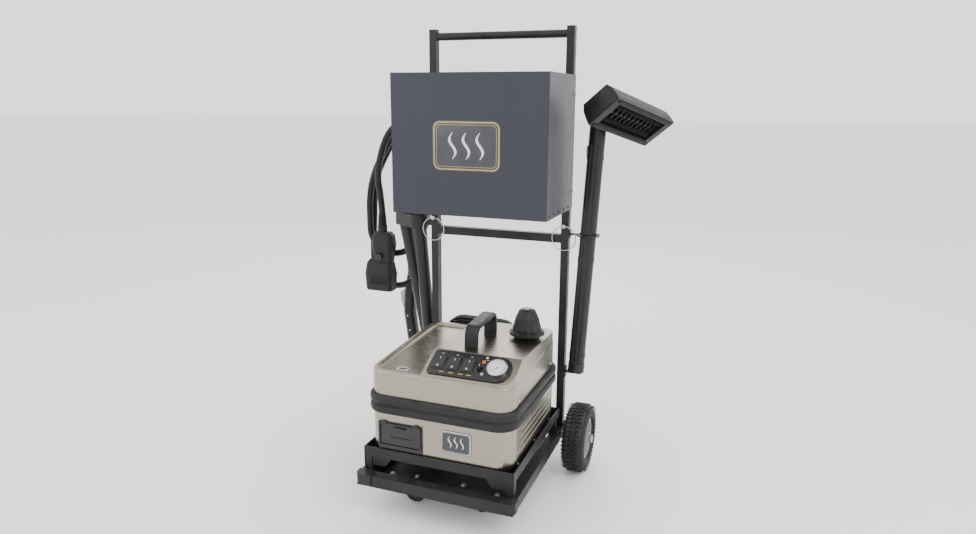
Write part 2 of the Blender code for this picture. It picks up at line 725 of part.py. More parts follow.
def makeShells(steel):
    hx, hy = bodyX, (bodyBack - bodyFront) / 2
    cy = (bodyBack + bodyFront) / 2
    t, r = bodyWall, bodyCorner
    ledge = 0.010

    def fillet(low, z0, z1, d):
        # quarter round of the tub's lower or the lid's upper edge
        steps = range(0, 5)
        if low:
            return [(d - ledge * (1 - sin(pi / 8 * k)), z0 + ledge * (1 - cos(pi / 8 * k)))
                    for k in steps]
        return [(d - ledge * (1 - cos(pi / 8 * k)), z1 - ledge * (1 - sin(pi / 8 * k)))
                for k in steps]
    tubProfile = (fillet(True, bodyLow, 0, 0) + [(0, seam - 2 * gap), (-t, seam - 2 * gap)]
                  + fillet(True, bodyLow + t, 0, -t)[::-1])
    tub = add("lower_shell", skirted(tubProfile, hx, hy, r, cy), steel)
    less(tub, box((socketX[0], bodyFront - 0.01, socketZ[0]),
                  (socketX[1], bodyFront + 0.012, socketZ[1])))
    shade(tub, 30)
    lid = add("upper_shell", skirted([(0, seam)] + fillet(False, 0, bodyTop, 0), hx, hy, r, cy),
              steel)
    depth = 0.009
    less(lid, dished(0, bodyTop - depth))
    hump = add("hump", platform(0))
    within(hump, skirted([(-0.0015, 0.37), (-0.0015, 0.6)], hx, hy, r, cy))
    soften(hump, 0.009, 2, 30)
    core = add("core", skirted([(0, seam - 0.02)] + fillet(False, 0, bodyTop - t, 0),
                               hx - t, hy - t, r - t, cy))
    less(core, dished(t, bodyTop - depth - t))
    inner = add("inner", platform(t))
    within(inner, skirted([(-0.0015 - t, 0.36), (-0.0015 - t, 0.6)], hx, hy, r, cy))
    soften(inner, 0.0082, 2, 30)
    for target, tool, how in ((lid, hump, "UNION"), (core, inner, "UNION"),
                              (lid, core, "DIFFERENCE")):
        mod = target.modifiers.new("join", "BOOLEAN")
        mod.operation = how
        mod.solver = "EXACT"
        mod.object = tool
        settle(target)
    for spare in (hump, core, inner):
        bpy.data.objects.remove(spare, do_unlink=True)
    # filler neck hole, then stray double points joined
    less(lid, cylinder((capX, capY, 0.3), (capX, capY, 0.6), 0.0262))
    bm = bmesh.new()
    bm.from_mesh(lid.data)
    bmesh.ops.remove_doubles(bm, verts=bm.verts, dist=0.00005)
    bm.to_mesh(lid.data)
    bm.free()
    lift(lid)
    shade(lid, 35)


def dished(extra, floor):
    # shallow well in the left part of the top
    e = extra
    lo, hi = -bodyX + 0.016 - e, -0.062 + e
    y0, y1 = bodyFront + 0.016 - e, bodyBack - 0.016 + e
    bm = skirted([(-0.006, floor), (-0.0015, floor + 0.003), (0.0, floor + 0.009),
                  (0.0, floor + 0.06)], (hi - lo) / 2, (y1 - y0) / 2, 0.034, (y0 + y1) / 2, n=6)
    bmesh.ops.translate(bm, verts=bm.verts, vec=((lo + hi) / 2, 0, 0))
    return bm


def makeBelt(rubber):
    hx, hy = bodyX, (bodyBack - bodyFront) / 2
    profile = [(gap, beltLow), (0.007, beltLow), (0.0095, beltLow + 0.003),
               (0.0105, beltLow + 0.010), (0.0095, beltLow + 0.018), (0.0055, beltLow + 0.021),
               (0.0055, beltLow + 0.025), (0.0095, beltLow + 0.028), (0.0105, beltLow + 0.035),
               (0.0095, beltLow + 0.043), (0.006, beltHigh), (gap, beltHigh)]
    shade(add("bumper_belt", skirted(profile, hx, hy, bodyCorner, (bodyBack + bodyFront) / 2,
                                     True), rubber), 50)


def slopeFrame():
    # matrix of the control slope after the lift: x right, y up the slope, z outwards
    a = slopePoint(0, 0.0)
    b = slopePoint(0, panelDepth)
    a.z += raised(a.y)
    b.z += raised(b.y)
    y = (b - a).normalized()
    x = Vector((1, 0, 0))
    z = x.cross(y)
    return Matrix.Translation(a) @ Matrix((x, y, z)).transposed().to_4x4()


def onSlope(bm, frame):
    bmesh.ops.transform(bm, matrix=frame, verts=bm.verts)
    return bm


def makePanel(mats):
    frame = slopeFrame()
    low, high = 0.004, panelDepth
    r = 0.034
    left, right = panelLeft, panelRight
    shape = [(left, low + 0.006), (left + 0.006, low)]
    shape += [(right - r + r * sin(a), low + r - r * cos(a))
              for a in [pi / 2 * k / 8 for k in range(9)]]
    shape += [(right - r + r * cos(a), high - r + r * sin(a))
              for a in [pi / 2 * k / 8 for k in range(9)]]
    shape += [(left + 0.006, high), (left, high - 0.006)]
    panel = add("control_panel", onSlope(prism(shape, 2 * gap, 0.0036), frame), mats["black"])
    for x in rockerX:
        less(panel, onSlope(box((x - rockerW / 2 - gap, rockerUp - rockerH / 2 - gap, 0.0016),
                                (x + rockerW / 2 + gap, rockerUp + rockerH / 2 + gap, 0.02)),
                            frame))
    less(panel, onSlope(cylinder((gaugeX, gaugeUp, 0.0016), (gaugeX, gaugeUp, 0.02),
                                 gaugeR + 0.0022, segs=40), frame),
         onSlope(cylinder((knobX, knobUp, 0.0016), (knobX, knobUp, 0.02), 0.0034, segs=20),
                 frame),
         onSlope(cylinder((lampX, lampUp, 0.0016), (lampX, lampUp, 0.02), 0.0043, segs=20),
                 frame))
    shade(panel, 30)
    for k, x in enumerate(rockerX):
        # rocker: two shallow slopes meeting at the pivot line
        h = rockerH / 2
        side = [(rockerUp - h, 0.0060), (rockerUp - h + 0.001, 0.0042), (rockerUp, 0.0019),
                (rockerUp + h - 0.001, 0.0042), (rockerUp + h, 0.0086), (rockerUp, 0.0066)]
        key = prism(side, x - rockerW / 2, x + rockerW / 2, "X")
        origin = frame @ Vector((x, rockerUp, 0.0045))
        add("rocker_switch_%d" % (k + 1), onSlope(key, frame), mats["black"], origin)
    knob = turned([(0, 0.0019), (0.0030, 0.0019), (0.0030, 0.0040), (0.0085, 0.0040),
                   (0.0085, 0.0060), (0.0070, 0.0130), (0, 0.0130)], (knobX, knobUp, 0), segs=32,
                  wave=lambda a, h: 1 + 0.05 * cos(9 * a) if h > 0.0041 else 1)
    obj = add("control_knob", onSlope(knob, frame), mats["black"],
              frame @ Vector((knobX, knobUp, 0.004)))
    shade(obj, 50)
    lamp = turned([(0, 0.0019), (0.0040, 0.0019), (0.0040, 0.0050), (0.0030, 0.0066),
                   (0, 0.0072)], (lampX, lampUp, 0), segs=24)
    shade(add("warning_lamp", onSlope(lamp, frame), mats["red"],
              frame @ Vector((lampX, lampUp, 0.004))), 60)
    # pressure gauge: case with dial, needle, glass
    g = gaugeR
    case = turned([(0, 0.0019), (g + 0.0018, 0.0019), (g + 0.0018, 0.0105), (g + 0.0006, 0.0125),
                   (g - 0.0015, 0.0125), (g - 0.0020, 0.0105), (g - 0.0030, 0.0105),
                   (g - 0.0030, 0.0060), (0.0022, 0.0060), (0.0022, 0.0070), (0, 0.0070)],
                  (gaugeX, gaugeUp, 0), segs=36)
    shade(add("gauge_case", onSlope(case, frame), mats["chrome"],
              frame @ Vector((gaugeX, gaugeUp, 0.006))), 35)
    needle = prism([(gaugeX - 0.0012, gaugeUp - 0.006), (gaugeX + 0.0012, gaugeUp - 0.006),
                    (gaugeX + 0.0004, gaugeUp + 0.017), (gaugeX - 0.0004, gaugeUp + 0.017)],
                   0.0074, 0.0080)
    spin = Matrix.Translation((gaugeX, gaugeUp, 0)) @ Matrix.Rotation(radians(135), 4, "Z") \
        @ Matrix.Translation((-gaugeX, -gaugeUp, 0))
    bmesh.ops.transform(needle, matrix=spin, verts=needle.verts)
    obj = add("gauge_needle", onSlope(needle, frame), mats["black"],
              frame @ Vector((gaugeX, gaugeUp, 0.0077)))
    plus(obj, onSlope(cylinder((gaugeX, gaugeUp, 0.0073), (gaugeX, gaugeUp, 0.0085), 0.0024,
                               segs=20), frame))
    glass = turned([(0, 0.0108), (g - 0.0023, 0.0108), (g - 0.0023, 0.0119), (0, 0.0128)],
                   (gaugeX, gaugeUp, 0), segs=36)
    shade(add("gauge_glass", onSlope(glass, frame), mats["glass"],
              frame @ Vector((gaugeX, gaugeUp, 0.0115))), 60)


def platformZ(y):
    # height of the platform's flat top after the lift
    head = slopePoint(0, 0.090)
    k = (y - head.y) / (bodyBack - 0.002 - head.y)
    return head.z + (platformBack - head.z) * k + raised(y)


def makeHandle(plastic):
    x, y0, y1, top = 0.0405, -0.3060, -0.1620, 0.498
    z0, z1 = platformZ(y0) + 0.0007, platformZ(y1) + 0.0007
    path = rounded([(x, y0, z0), (x, y0 + 0.004, top - 0.002), (x, y1, top + 0.004), (x, y1, z1)],
                   0.020, 6)
    strap = add("carry_handle", swept(path, [(-0.018, -0.004), (-0.013, -0.0062), (0.013, -0.0062),
                                             (0.018, -0.004), (0.018, 0.004), (0.013, 0.0062),
                                             (-0.013, 0.0062), (-0.018, 0.004)],
                                      up=(0, 1, 0)), plastic)
    shade(strap, 40)


def makeCap(plastic):
    z = platformZ(capY)
    ring = [(0.0215, -0.040), (0.0255, -0.040), (0.0255, 0.0022), (0.036, 0.0022), (0.0380, 0.006),
            (0.0490, 0.0130), (0.0490, 0.0180), (0.0400, 0.0225), (0.0215, 0.0225)]
    shade(add("filler_collar", turned(ring, (capX, capY, z), segs=40,
                                      wave=lambda a, h: 1 + 0.02 * cos(8 * a)
                                      if 0.007 < h < 0.02 else 1), plastic), 35)
    flutes = 12
    knob = [(0, -0.020), (0.0205, -0.020), (0.0205, 0.0229), (0.0388, 0.0232), (0.0392, 0.030),
            (0.0320, 0.058), (0.0225, 0.079), (0.0150, 0.083), (0, 0.083)]
    shade(add("filler_cap", turned(knob, (capX, capY, z), segs=flutes * 5,
                                   wave=lambda a, h: 1 - 0.045 * (0.5 + 0.5 * cos(flutes * a)) ** 2
                                   if 0.026 < h < 0.079 else 1), plastic,
              (capX, capY, z)), 30)


def makeSocket(plastic):
    x0, x1 = socketX[0] + gap, socketX[1] - gap
    z0, z1 = socketZ[0] + gap, socketZ[1] - gap
    y = bodyFront + 0.0002
    cup = add("steam_socket", box((x0, y, z0), (x1, y + 0.046, z1)), plastic)
    less(cup, box((x0 + 0.003, y - 0.01, z0 + 0.003), (x1 - 0.003, y + 0.043, z1 - 0.003)))
    cx, cz = (x0 + x1) / 2, (z0 + z1) / 2
    plus(cup, cylinder((cx, y + 0.044, cz), (cx, y + 0.018, cz), 0.019, segs=32))
    less(cup, cylinder((cx, y + 0.030, cz), (cx, y, cz), 0.0125, segs=32))
    shade(cup, 30)
    # drop-down flap, hinged along its lower edge
    low, r = flapAxis[1], 0.0015
    yc = flapAxis[0]
    arc = [(yc + r * cos(a), low + r * sin(a)) for a in [pi + pi * k / 8 for k in range(9)]]
    side = arc + [(yc + r, 0.2620), (yc - r, 0.2620)]
    flap = add("socket_flap", prism(side, -0.1668, -0.0412, "X"), plastic)
    for x in (-0.150, -0.058):
        plus(flap, box((x - 0.007, yc - 0.0035, 0.2560), (x + 0.007, yc, 0.2640)))
    shade(move(flap, ((socketX[0] + socketX[1]) / 2, yc, low)), 30)


def makeInside(steel, plastic):
    # boiler with saddle feet, tank under the filler cap
    cy, cz, r = -0.205, 0.240, 0.058
    body = turned([(0, -0.105), (0.030, -0.100), (0.050, -0.088), (r, -0.070), (r, 0.070),
                   (0.050, 0.088), (0.030, 0.100), (0, 0.105)], (-0.060, cy, cz), (1, 0, 0), 28)
    boiler = add("boiler", body, steel)
    floor = bodyLow + bodyWall + gap
    for x in (-0.115, -0.005):
        plus(boiler, box((x - 0.006, cy - 0.040, floor), (x + 0.006, cy + 0.040, cz - 0.030)))
    shade(boiler, 40)
    tank = add("water_tank", box((0.075, -0.375, floor), (0.180, -0.060, 0.372)), plastic)
    less(tank, box((0.078, -0.372, floor + 0.003), (0.177, -0.063, 0.369)),
         cylinder((capX, capY, 0.36), (capX, capY, 0.40), 0.024))


def makeRear(plastic):
    # rear cover with two horns for the mains lead and the lead's strain relief
    y0 = bodyBack + gap
    plate = add("rear_cover", prism([(-0.172, 0.342), (0.178, 0.342), (0.184, 0.350), (0.184, 0.398),
                                     (0.176, 0.406), (-0.170, 0.400), (-0.178, 0.392),
                                     (-0.178, 0.350)], y0, y0 + 0.0035, "Y"), plastic)
    flange = hankFront + hankDeep + 0.0006
    for s in (-1, 1):
        x = hankX + s * hankRun / 2
        plus(plate, cylinder((x, y0 + 0.0025, hankZ), (x, flange + 0.001, hankZ), 0.0225, segs=32),
             cylinder((x, flange, hankZ), (x, flange + 0.0028, hankZ), 0.030, segs=32))
    shade(plate)
    gland = turned([(0, 0), (0.0100, 0), (0.0100, 0.004), (0.0066, 0.007), (0.0052, glandLong),
                    (0, glandLong)], (glandX, y0, glandZ), (0, 1, 0), 24)
    shade(add("cord_gland", gland, plastic))


def leadRoute():
    # from the gland back, up and round to the outermost turn on the right-hand horn
    low = hankZ - hankFold - hankWide / 2
    endX, endY = hankX + hankRun / 2 + hankFold + hankWide / 2 - cordR, hankFront + hankDeep - cordR
    turns = [(0.046, 0.255, 0.040, a) for a in (-60, -25, 10, 45, 80)]
    turns += [(0.041, 0.332, 0.037, a) for a in (-110, -145, -175)]
    route = [(glandX, bodyBack + glandLong + 2 * gap, glandZ), (glandX, 0.034, glandZ)]
    for k, (y, z, r, a) in enumerate(turns):
        x = glandX + (endX - glandX) * (k + 1) / len(turns)
        route.append((x, y + r * cos(radians(a)), z + r * sin(radians(a))))
    return route + [(endX, endY, low + 0.0272)]


def makeMainsLead(rubber, plastic):
    # lead from the gland to the horns, the wound lead as one solid, and the plug below it
    n = 16

    def loop(r):
        pts = []
        for s in (1, -1):
            for k in range(n + 1):
                a = pi * k / n - s * pi / 2
                pts.append((hankX + s * hankRun / 2 + r * cos(a), hankZ + r * sin(a)))
        return pts
    back = hankFront + hankDeep
    hank = add("cord_hank", prism(loop(hankFold + hankWide / 2), hankFront, back, "Y"), rubber)
    less(hank, prism(loop(hankFold - hankWide / 2), hankFront - 0.01, back + 0.01, "Y"))
    shade(hank, 50)
    pts, length = smooth(leadRoute(), 0.022)
    tubeCurve("power_cord", pts, cordR, rubber, 2)
    print("power cord outside the hank %.3f m" % length)
    x, y, top = hankX - 0.016, back + 0.005, hankZ - hankFold - hankWide / 2 - gap
    plug = turned([(0, 0), (0.0052, 0), (0.0062, 0.026), (0.0130, 0.034), (0.0165, 0.050),
                   (0.0175, 0.066), (0, 0.066)], (x, y, top), (0, 0, -1), 24)
    body = add("mains_plug", plug, plastic)
    for blade in (-0.0063, 0.0063):
        plus(body, box((x + blade - 0.0008, y - 0.0032, top - 0.083),
                       (x + blade + 0.0008, y + 0.0032, top - 0.062)))
    plus(body, cylinder((x, y - 0.0105, top - 0.085), (x, y - 0.0105, top - 0.062), 0.0024,
                        segs=12))
    shade(body)


# ---------------------------------------------------------------- hose, gun and connector
def hoseRoute():
    # from the connector up over the saddle, down and round the bottom, three times, to the gun
    y = [0.118, 0.157, 0.183]
    rise = [[(-0.4535, 0.775), (-0.4595, 0.830), (-0.449, 0.895)],
            [(-0.516, 0.690), (-0.514, 0.755), (-0.500, 0.820), (-0.468, 0.890)],
            [(-0.5205, 0.570), (-0.518, 0.640), (-0.514, 0.710), (-0.511, 0.770), (-0.496, 0.832),
             (-0.464, 0.897)]]
    fall = [[(-0.318, 0.45, 0.700)], [(-0.305, 0.15, 0.715), (-0.320, 0.30, 0.650), (-0.336, 0.45, 0.580)]]
    loops = [(-0.428, 0.660, (0.85, 1, 1, 1, 1)), (-0.433, 0.543, (0.55, 0.60, 0.70, 0.85, 1))]
    points = [(plugX, y[0], plugTop), (plugX, y[0], plugTop + 0.052)]
    for k in range(3):
        points += [(x, y[k], z) for x, z in rise[k]]
        points += [(hookX + loopR * cos(radians(a)), y[k], hookZ + loopR * sin(radians(a)))
                   for a in (150, 118, 86, 54, 22, -10)]
        points += [(-0.262, y[k], 0.835), (-0.283, y[k], 0.775)]
        if k < 2:
            step = y[k + 1] - y[k]
            cx, cz, shares = loops[k]
            points += [(x, y[k] + step * share, z) for x, share, z in fall[k]]
            points += [(cx + hangR * cos(radians(a)), y[k] + step * share, cz + hangR * sin(radians(a)))
                       for a, share in zip((-25, -60, -95, -130, -160), shares)]
    points += [(-0.312, y[2] + 0.008, 0.715), (-0.343, gunY, 0.660), (-0.367, gunY, 0.610),
               (gunX, gunY, gunTop + 0.045), (gunX, gunY, gunTop + gap)]
    return points


def makeHose(rubber, plastic, grey):
    pts, length = smooth(hoseRoute(), 0.050)
    print("steam hose %.3f m, %d points" % (length, len(pts)))
    tubeCurve("steam_hose", pts, hoseR, rubber, 3)
    # flat connector that fits the cleaner's socket
    y, top = 0.118, plugTop - gap
    plug = add("hose_plug", cylinder((plugX, y, top), (plugX, y, top - 0.030), 0.0160), plastic)
    boot = skirted([(-0.010, top - 0.018), (0.0, top - 0.030), (0.004, top - 0.060),
                    (-0.004, top - 0.112), (-0.006, top - 0.125)], 0.036, 0.022, 0.014, 0, n=4)
    bmesh.ops.translate(boot, verts=boot.verts, vec=(plugX + 0.004, y, 0))
    block = skirted([(-0.010, top - 0.112), (0.0, top - 0.124), (0.007, top - 0.160),
                     (0.004, top - 0.212), (0.001, top - 0.218)], 0.045, 0.022, 0.010, 0, n=4)
    bmesh.ops.translate(block, verts=block.verts, vec=(plugX - 0.010, y, 0))
    plus(plug, boot, block)
    low = top - 0.218
    less(plug, box((plugX - 0.049, y - 0.017, low - 0.01), (plugX + 0.029, y + 0.017, low + 0.030)))
    plus(plug, cylinder((plugX - 0.010, y, low + 0.032), (plugX - 0.010, y, low + 0.002), 0.0115))
    shade(plug)
    # steam gun hanging grip down behind the spare tubes
    grip = rounded([(gunX, gunY, gunTop), (gunX, gunY, gunTop - 0.024),
                    (gunX - 0.012, gunY, gunTop - 0.080),
                    (gunX - 0.018, gunY, gunTop - 0.160), (gunX - 0.004, gunY, gunTop - 0.262)], 0.09)
    gun = add("steam_gun", swept(grip, [(-0.018, -0.010), (-0.010, -0.019), (0.010, -0.019),
                                        (0.018, -0.010), (0.018, 0.010), (0.010, 0.019),
                                        (-0.010, 0.019), (-0.018, 0.010)], up=(1, 0, 0)), plastic)
    tx, tz = gunX - 0.020, gunTop - 0.078
    less(gun, box((tx - 0.080, gunY - 0.0058, tz - 0.074), (tx + 0.0045, gunY + 0.0058, tz + 0.006)))
    shade(gun, 35)
    side = [(tx - 0.004, tz + 0.0040), (tx + 0.003, tz + 0.0040), (tx + 0.003, tz - 0.004),
            (tx - 0.008, tz - 0.066), (tx - 0.022, tz - 0.070), (tx - 0.030, tz - 0.050),
            (tx - 0.031, tz - 0.020)]
    lever = add("gun_trigger", prism(side, gunY - 0.0053, gunY + 0.0053, "Y"), grey)
    soften(lever, 0.0012, 2, 30)
    shade(move(lever, (tx, gunY, tz)))


def centre():
    # puts the origin at the middle of the footprint, on the floor; cords are not counted
    skip = ("power_cord", "cord_hank", "mains_plug", "steam_hose", "hose_plug", "cord_gland")
    bpy.context.view_layer.update()
    low, high = [9, 9, 9], [-9, -9, -9]
    for obj in bpy.context.scene.objects:
        if obj.type != "MESH" or obj.name in skip:
            continue
        for v in obj.data.vertices:
            p = obj.matrix_world @ v.co
            for i in range(3):
                low[i], high[i] = min(low[i], p[i]), max(high[i], p[i])
    shift = Vector(((low[0] + high[0]) / 2, (low[1] + high[1]) / 2, low[2]))
    for obj in bpy.context.scene.objects:
        if obj.type == "CURVE":
            for p in obj.data.splines[0].points:
                p.co = (p.co.x - shift.x, p.co.y - shift.y, p.co.z - shift.z, 1)
        else:
            obj.location -= shift
    print("shift", [round(v, 5) for v in shift])


def build():
    clear()
    frame = material("black_frame", (0.035, 0.035, 0.040), 0.3, 0.45)
    binPaint = material("bin_paint", (0.075, 0.075, 0.10), 0.2, 0.4)
    steel = material("stainless", (0.62, 0.58, 0.52), 1.0, 0.28)
    zinc = material("zinc", (0.55, 0.56, 0.58), 1.0, 0.35)
    black = material("black_plastic", (0.030, 0.030, 0.034), 0, 0.45)
    tubePlastic = material("tube_plastic", (0.028, 0.028, 0.030), 0, 0.40)
    rubber = material("rubber", (0.022, 0.022, 0.024), 0, 0.75)
    tyreRubber = material("tyre", (0.045, 0.045, 0.047), 0, 0.85)
    rimGrey = material("rim_grey", (0.30, 0.30, 0.31), 0.2, 0.5)
    grey = material("light_grey", (0.55, 0.55, 0.56), 0, 0.45)
    red = material("lamp_red", (0.70, 0.05, 0.03), 0, 0.3)
    chrome = material("chrome", (0.80, 0.80, 0.82), 1.0, 0.1)
    glass = material("glass", (0.90, 0.93, 0.95), 0, 0.05, 0.35)
    makePosts(frame)
    makeBars(frame)
    makeBase(frame)
    makeDeck(frame)
    makeTray(frame)
    makeAxle(zinc)
    makeWheels(tyreRubber, rimGrey)
    makeCasters(zinc, rubber)
    makeBin(binPaint)
    makeLockPins(zinc, zinc)
    makeWandHolder(frame)
    top, up = makeWand(tubePlastic)
    makeTool(black, top, up)
    makeSpares(tubePlastic)
    makeRack(frame)
    makeShells(steel)
    makeBelt(rubber)
    makePanel({"black": black, "red": red, "chrome": chrome, "glass": glass})
    makeHandle(black)
    makeCap(black)
    makeSocket(black)
    makeInside(zinc, grey)
    makeRear(black)
    makeMainsLead(rubber, black)
    makeHose(rubber, black, grey)
    centre()
    print("objects", len([o for o in bpy.context.scene.objects if o.type != "EMPTY"]))


build()
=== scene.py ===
import bpy
import bmesh
import json
from math import pi, sin, cos, tan, radians, sqrt, hypot
from mathutils import Vector, Matrix


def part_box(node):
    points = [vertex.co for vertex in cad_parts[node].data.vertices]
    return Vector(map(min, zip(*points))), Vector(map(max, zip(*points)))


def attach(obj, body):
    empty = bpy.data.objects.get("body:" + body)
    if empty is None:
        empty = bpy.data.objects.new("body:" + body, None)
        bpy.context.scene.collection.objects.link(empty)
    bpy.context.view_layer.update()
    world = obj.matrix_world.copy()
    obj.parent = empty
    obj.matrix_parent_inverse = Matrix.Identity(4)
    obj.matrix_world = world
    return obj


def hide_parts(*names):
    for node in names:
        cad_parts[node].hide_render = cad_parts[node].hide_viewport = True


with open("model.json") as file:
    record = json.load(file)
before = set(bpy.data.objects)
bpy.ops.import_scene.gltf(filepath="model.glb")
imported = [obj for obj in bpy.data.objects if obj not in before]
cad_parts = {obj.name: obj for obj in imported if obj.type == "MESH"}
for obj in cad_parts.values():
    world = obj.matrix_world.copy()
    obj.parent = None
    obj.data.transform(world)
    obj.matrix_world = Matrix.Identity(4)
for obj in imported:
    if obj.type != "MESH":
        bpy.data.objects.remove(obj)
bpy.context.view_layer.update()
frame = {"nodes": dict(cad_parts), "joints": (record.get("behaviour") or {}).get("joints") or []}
joints = {joint["name"]: joint for joint in frame["joints"]}

postLeft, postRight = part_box("post_left"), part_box("post_right")
midX = (postLeft[0].x + postRight[1].x) / 2      # middle plane of the cart
frontY = postLeft[0].y                           # front faces of the two posts


def at(x, y, z):
    return Vector((midX + x, frontY + y, z))     # a place measured from the foot of the cart frame


def pivot(joint):
    return Vector(joints[joint]["pos_m"])


def axisOf(joint):
    return Vector(joints[joint]["axis"]).normalized()


# ---- camera, light and floor
cameraSetup = {"place": (0.7104, -1.9682, 1.0765), "turn": 20.5916, "pitch": 13.0358, "roll": 0.3548,
               "lens": 26.58, "sensor": 36.0}


def makeCamera(c):
    turn, pitch, roll = radians(c["turn"]), radians(c["pitch"]), radians(c["roll"])
    ahead = Vector((-sin(turn) * cos(pitch), cos(turn) * cos(pitch), -sin(pitch)))
    side = Vector((cos(turn), sin(turn), 0))
    up = side.cross(ahead)
    right = side * cos(roll) + up * sin(roll)
    top = up * cos(roll) - side * sin(roll)
    data = bpy.data.cameras.new("viewCamera")
    data.lens, data.sensor_width = c["lens"], c["sensor"]
    data.clip_start, data.clip_end = 0.05, 100
    camera = bpy.data.objects.new("viewCamera", data)
    bpy.context.scene.collection.objects.link(camera)
    camera.matrix_world = Matrix.Translation(at(*c["place"])) @ Matrix((right, top, -ahead)).transposed().to_4x4()
    bpy.context.scene.camera = camera


studio = {"horizon": 1.25, "zenith": 1.1, "strength": 1.45,
          "lamps": {"key": {"place": (2.2, -1.6, 2.7), "aim": (0, -0.2, 0.5), "size": 1.8, "power": 46},
                    "fill": {"place": (-2.4, -2.2, 1.9), "aim": (0, -0.2, 0.5), "size": 2.2, "power": 22},
                    "rim": {"place": (-0.8, 2.6, 2.4), "aim": (0, 0, 0.6), "size": 1.6, "power": 30}},
          "floorTone": 0.97, "floorRough": 0.7}


def makeStudio(s):
    world = bpy.data.worlds.new("studioSky")
    bpy.context.scene.world = world
    world.use_nodes = True
    nodes, links = world.node_tree.nodes, world.node_tree.links
    back = nodes["Background"]
    back.inputs["Strength"].default_value = s["strength"]
    coord = nodes.new("ShaderNodeTexCoord")
    split = nodes.new("ShaderNodeSeparateXYZ")
    ramp = nodes.new("ShaderNodeValToRGB")
    h, z = s["horizon"], s["zenith"]
    ramp.color_ramp.elements[0].position, ramp.color_ramp.elements[0].color = 0.12, (h, h, h, 1)
    ramp.color_ramp.elements[1].position, ramp.color_ramp.elements[1].color = 0.75, (z, z, z * 0.97, 1)
    links.new(coord.outputs["Generated"], split.inputs[0])
    links.new(split.outputs["Z"], ramp.inputs[0])
    links.new(ramp.outputs[0], back.inputs["Color"])
    for name, lamp in s["lamps"].items():
        data = bpy.data.lights.new(name + "Light", "AREA")
        data.shape, data.size, data.energy = "DISK", lamp["size"], lamp["power"]
        light = bpy.data.objects.new(name + "Light", data)
        bpy.context.scene.collection.objects.link(light)
        light.location = at(*lamp["place"])
        light.rotation_euler = (at(*lamp["aim"]) - light.location).to_track_quat("-Z", "Y").to_euler()
    bm = bmesh.new()
    bmesh.ops.create_grid(bm, x_segments=1, y_segments=1, size=40)
    mesh = bpy.data.meshes.new("studioFloor")
    bm.to_mesh(mesh)
    bm.free()
    floor = bpy.data.objects.new("studioFloor", mesh)
    bpy.context.scene.collection.objects.link(floor)
    paint = bpy.data.materials.new("floorPaint")
    paint.use_nodes = True
    shader = paint.node_tree.nodes["Principled BSDF"]
    t = s["floorTone"]
    shader.inputs["Base Color"].default_value = (t, t, t, 1)
    shader.inputs["Roughness"].default_value = s["floorRough"]
    mesh.materials.append(paint)


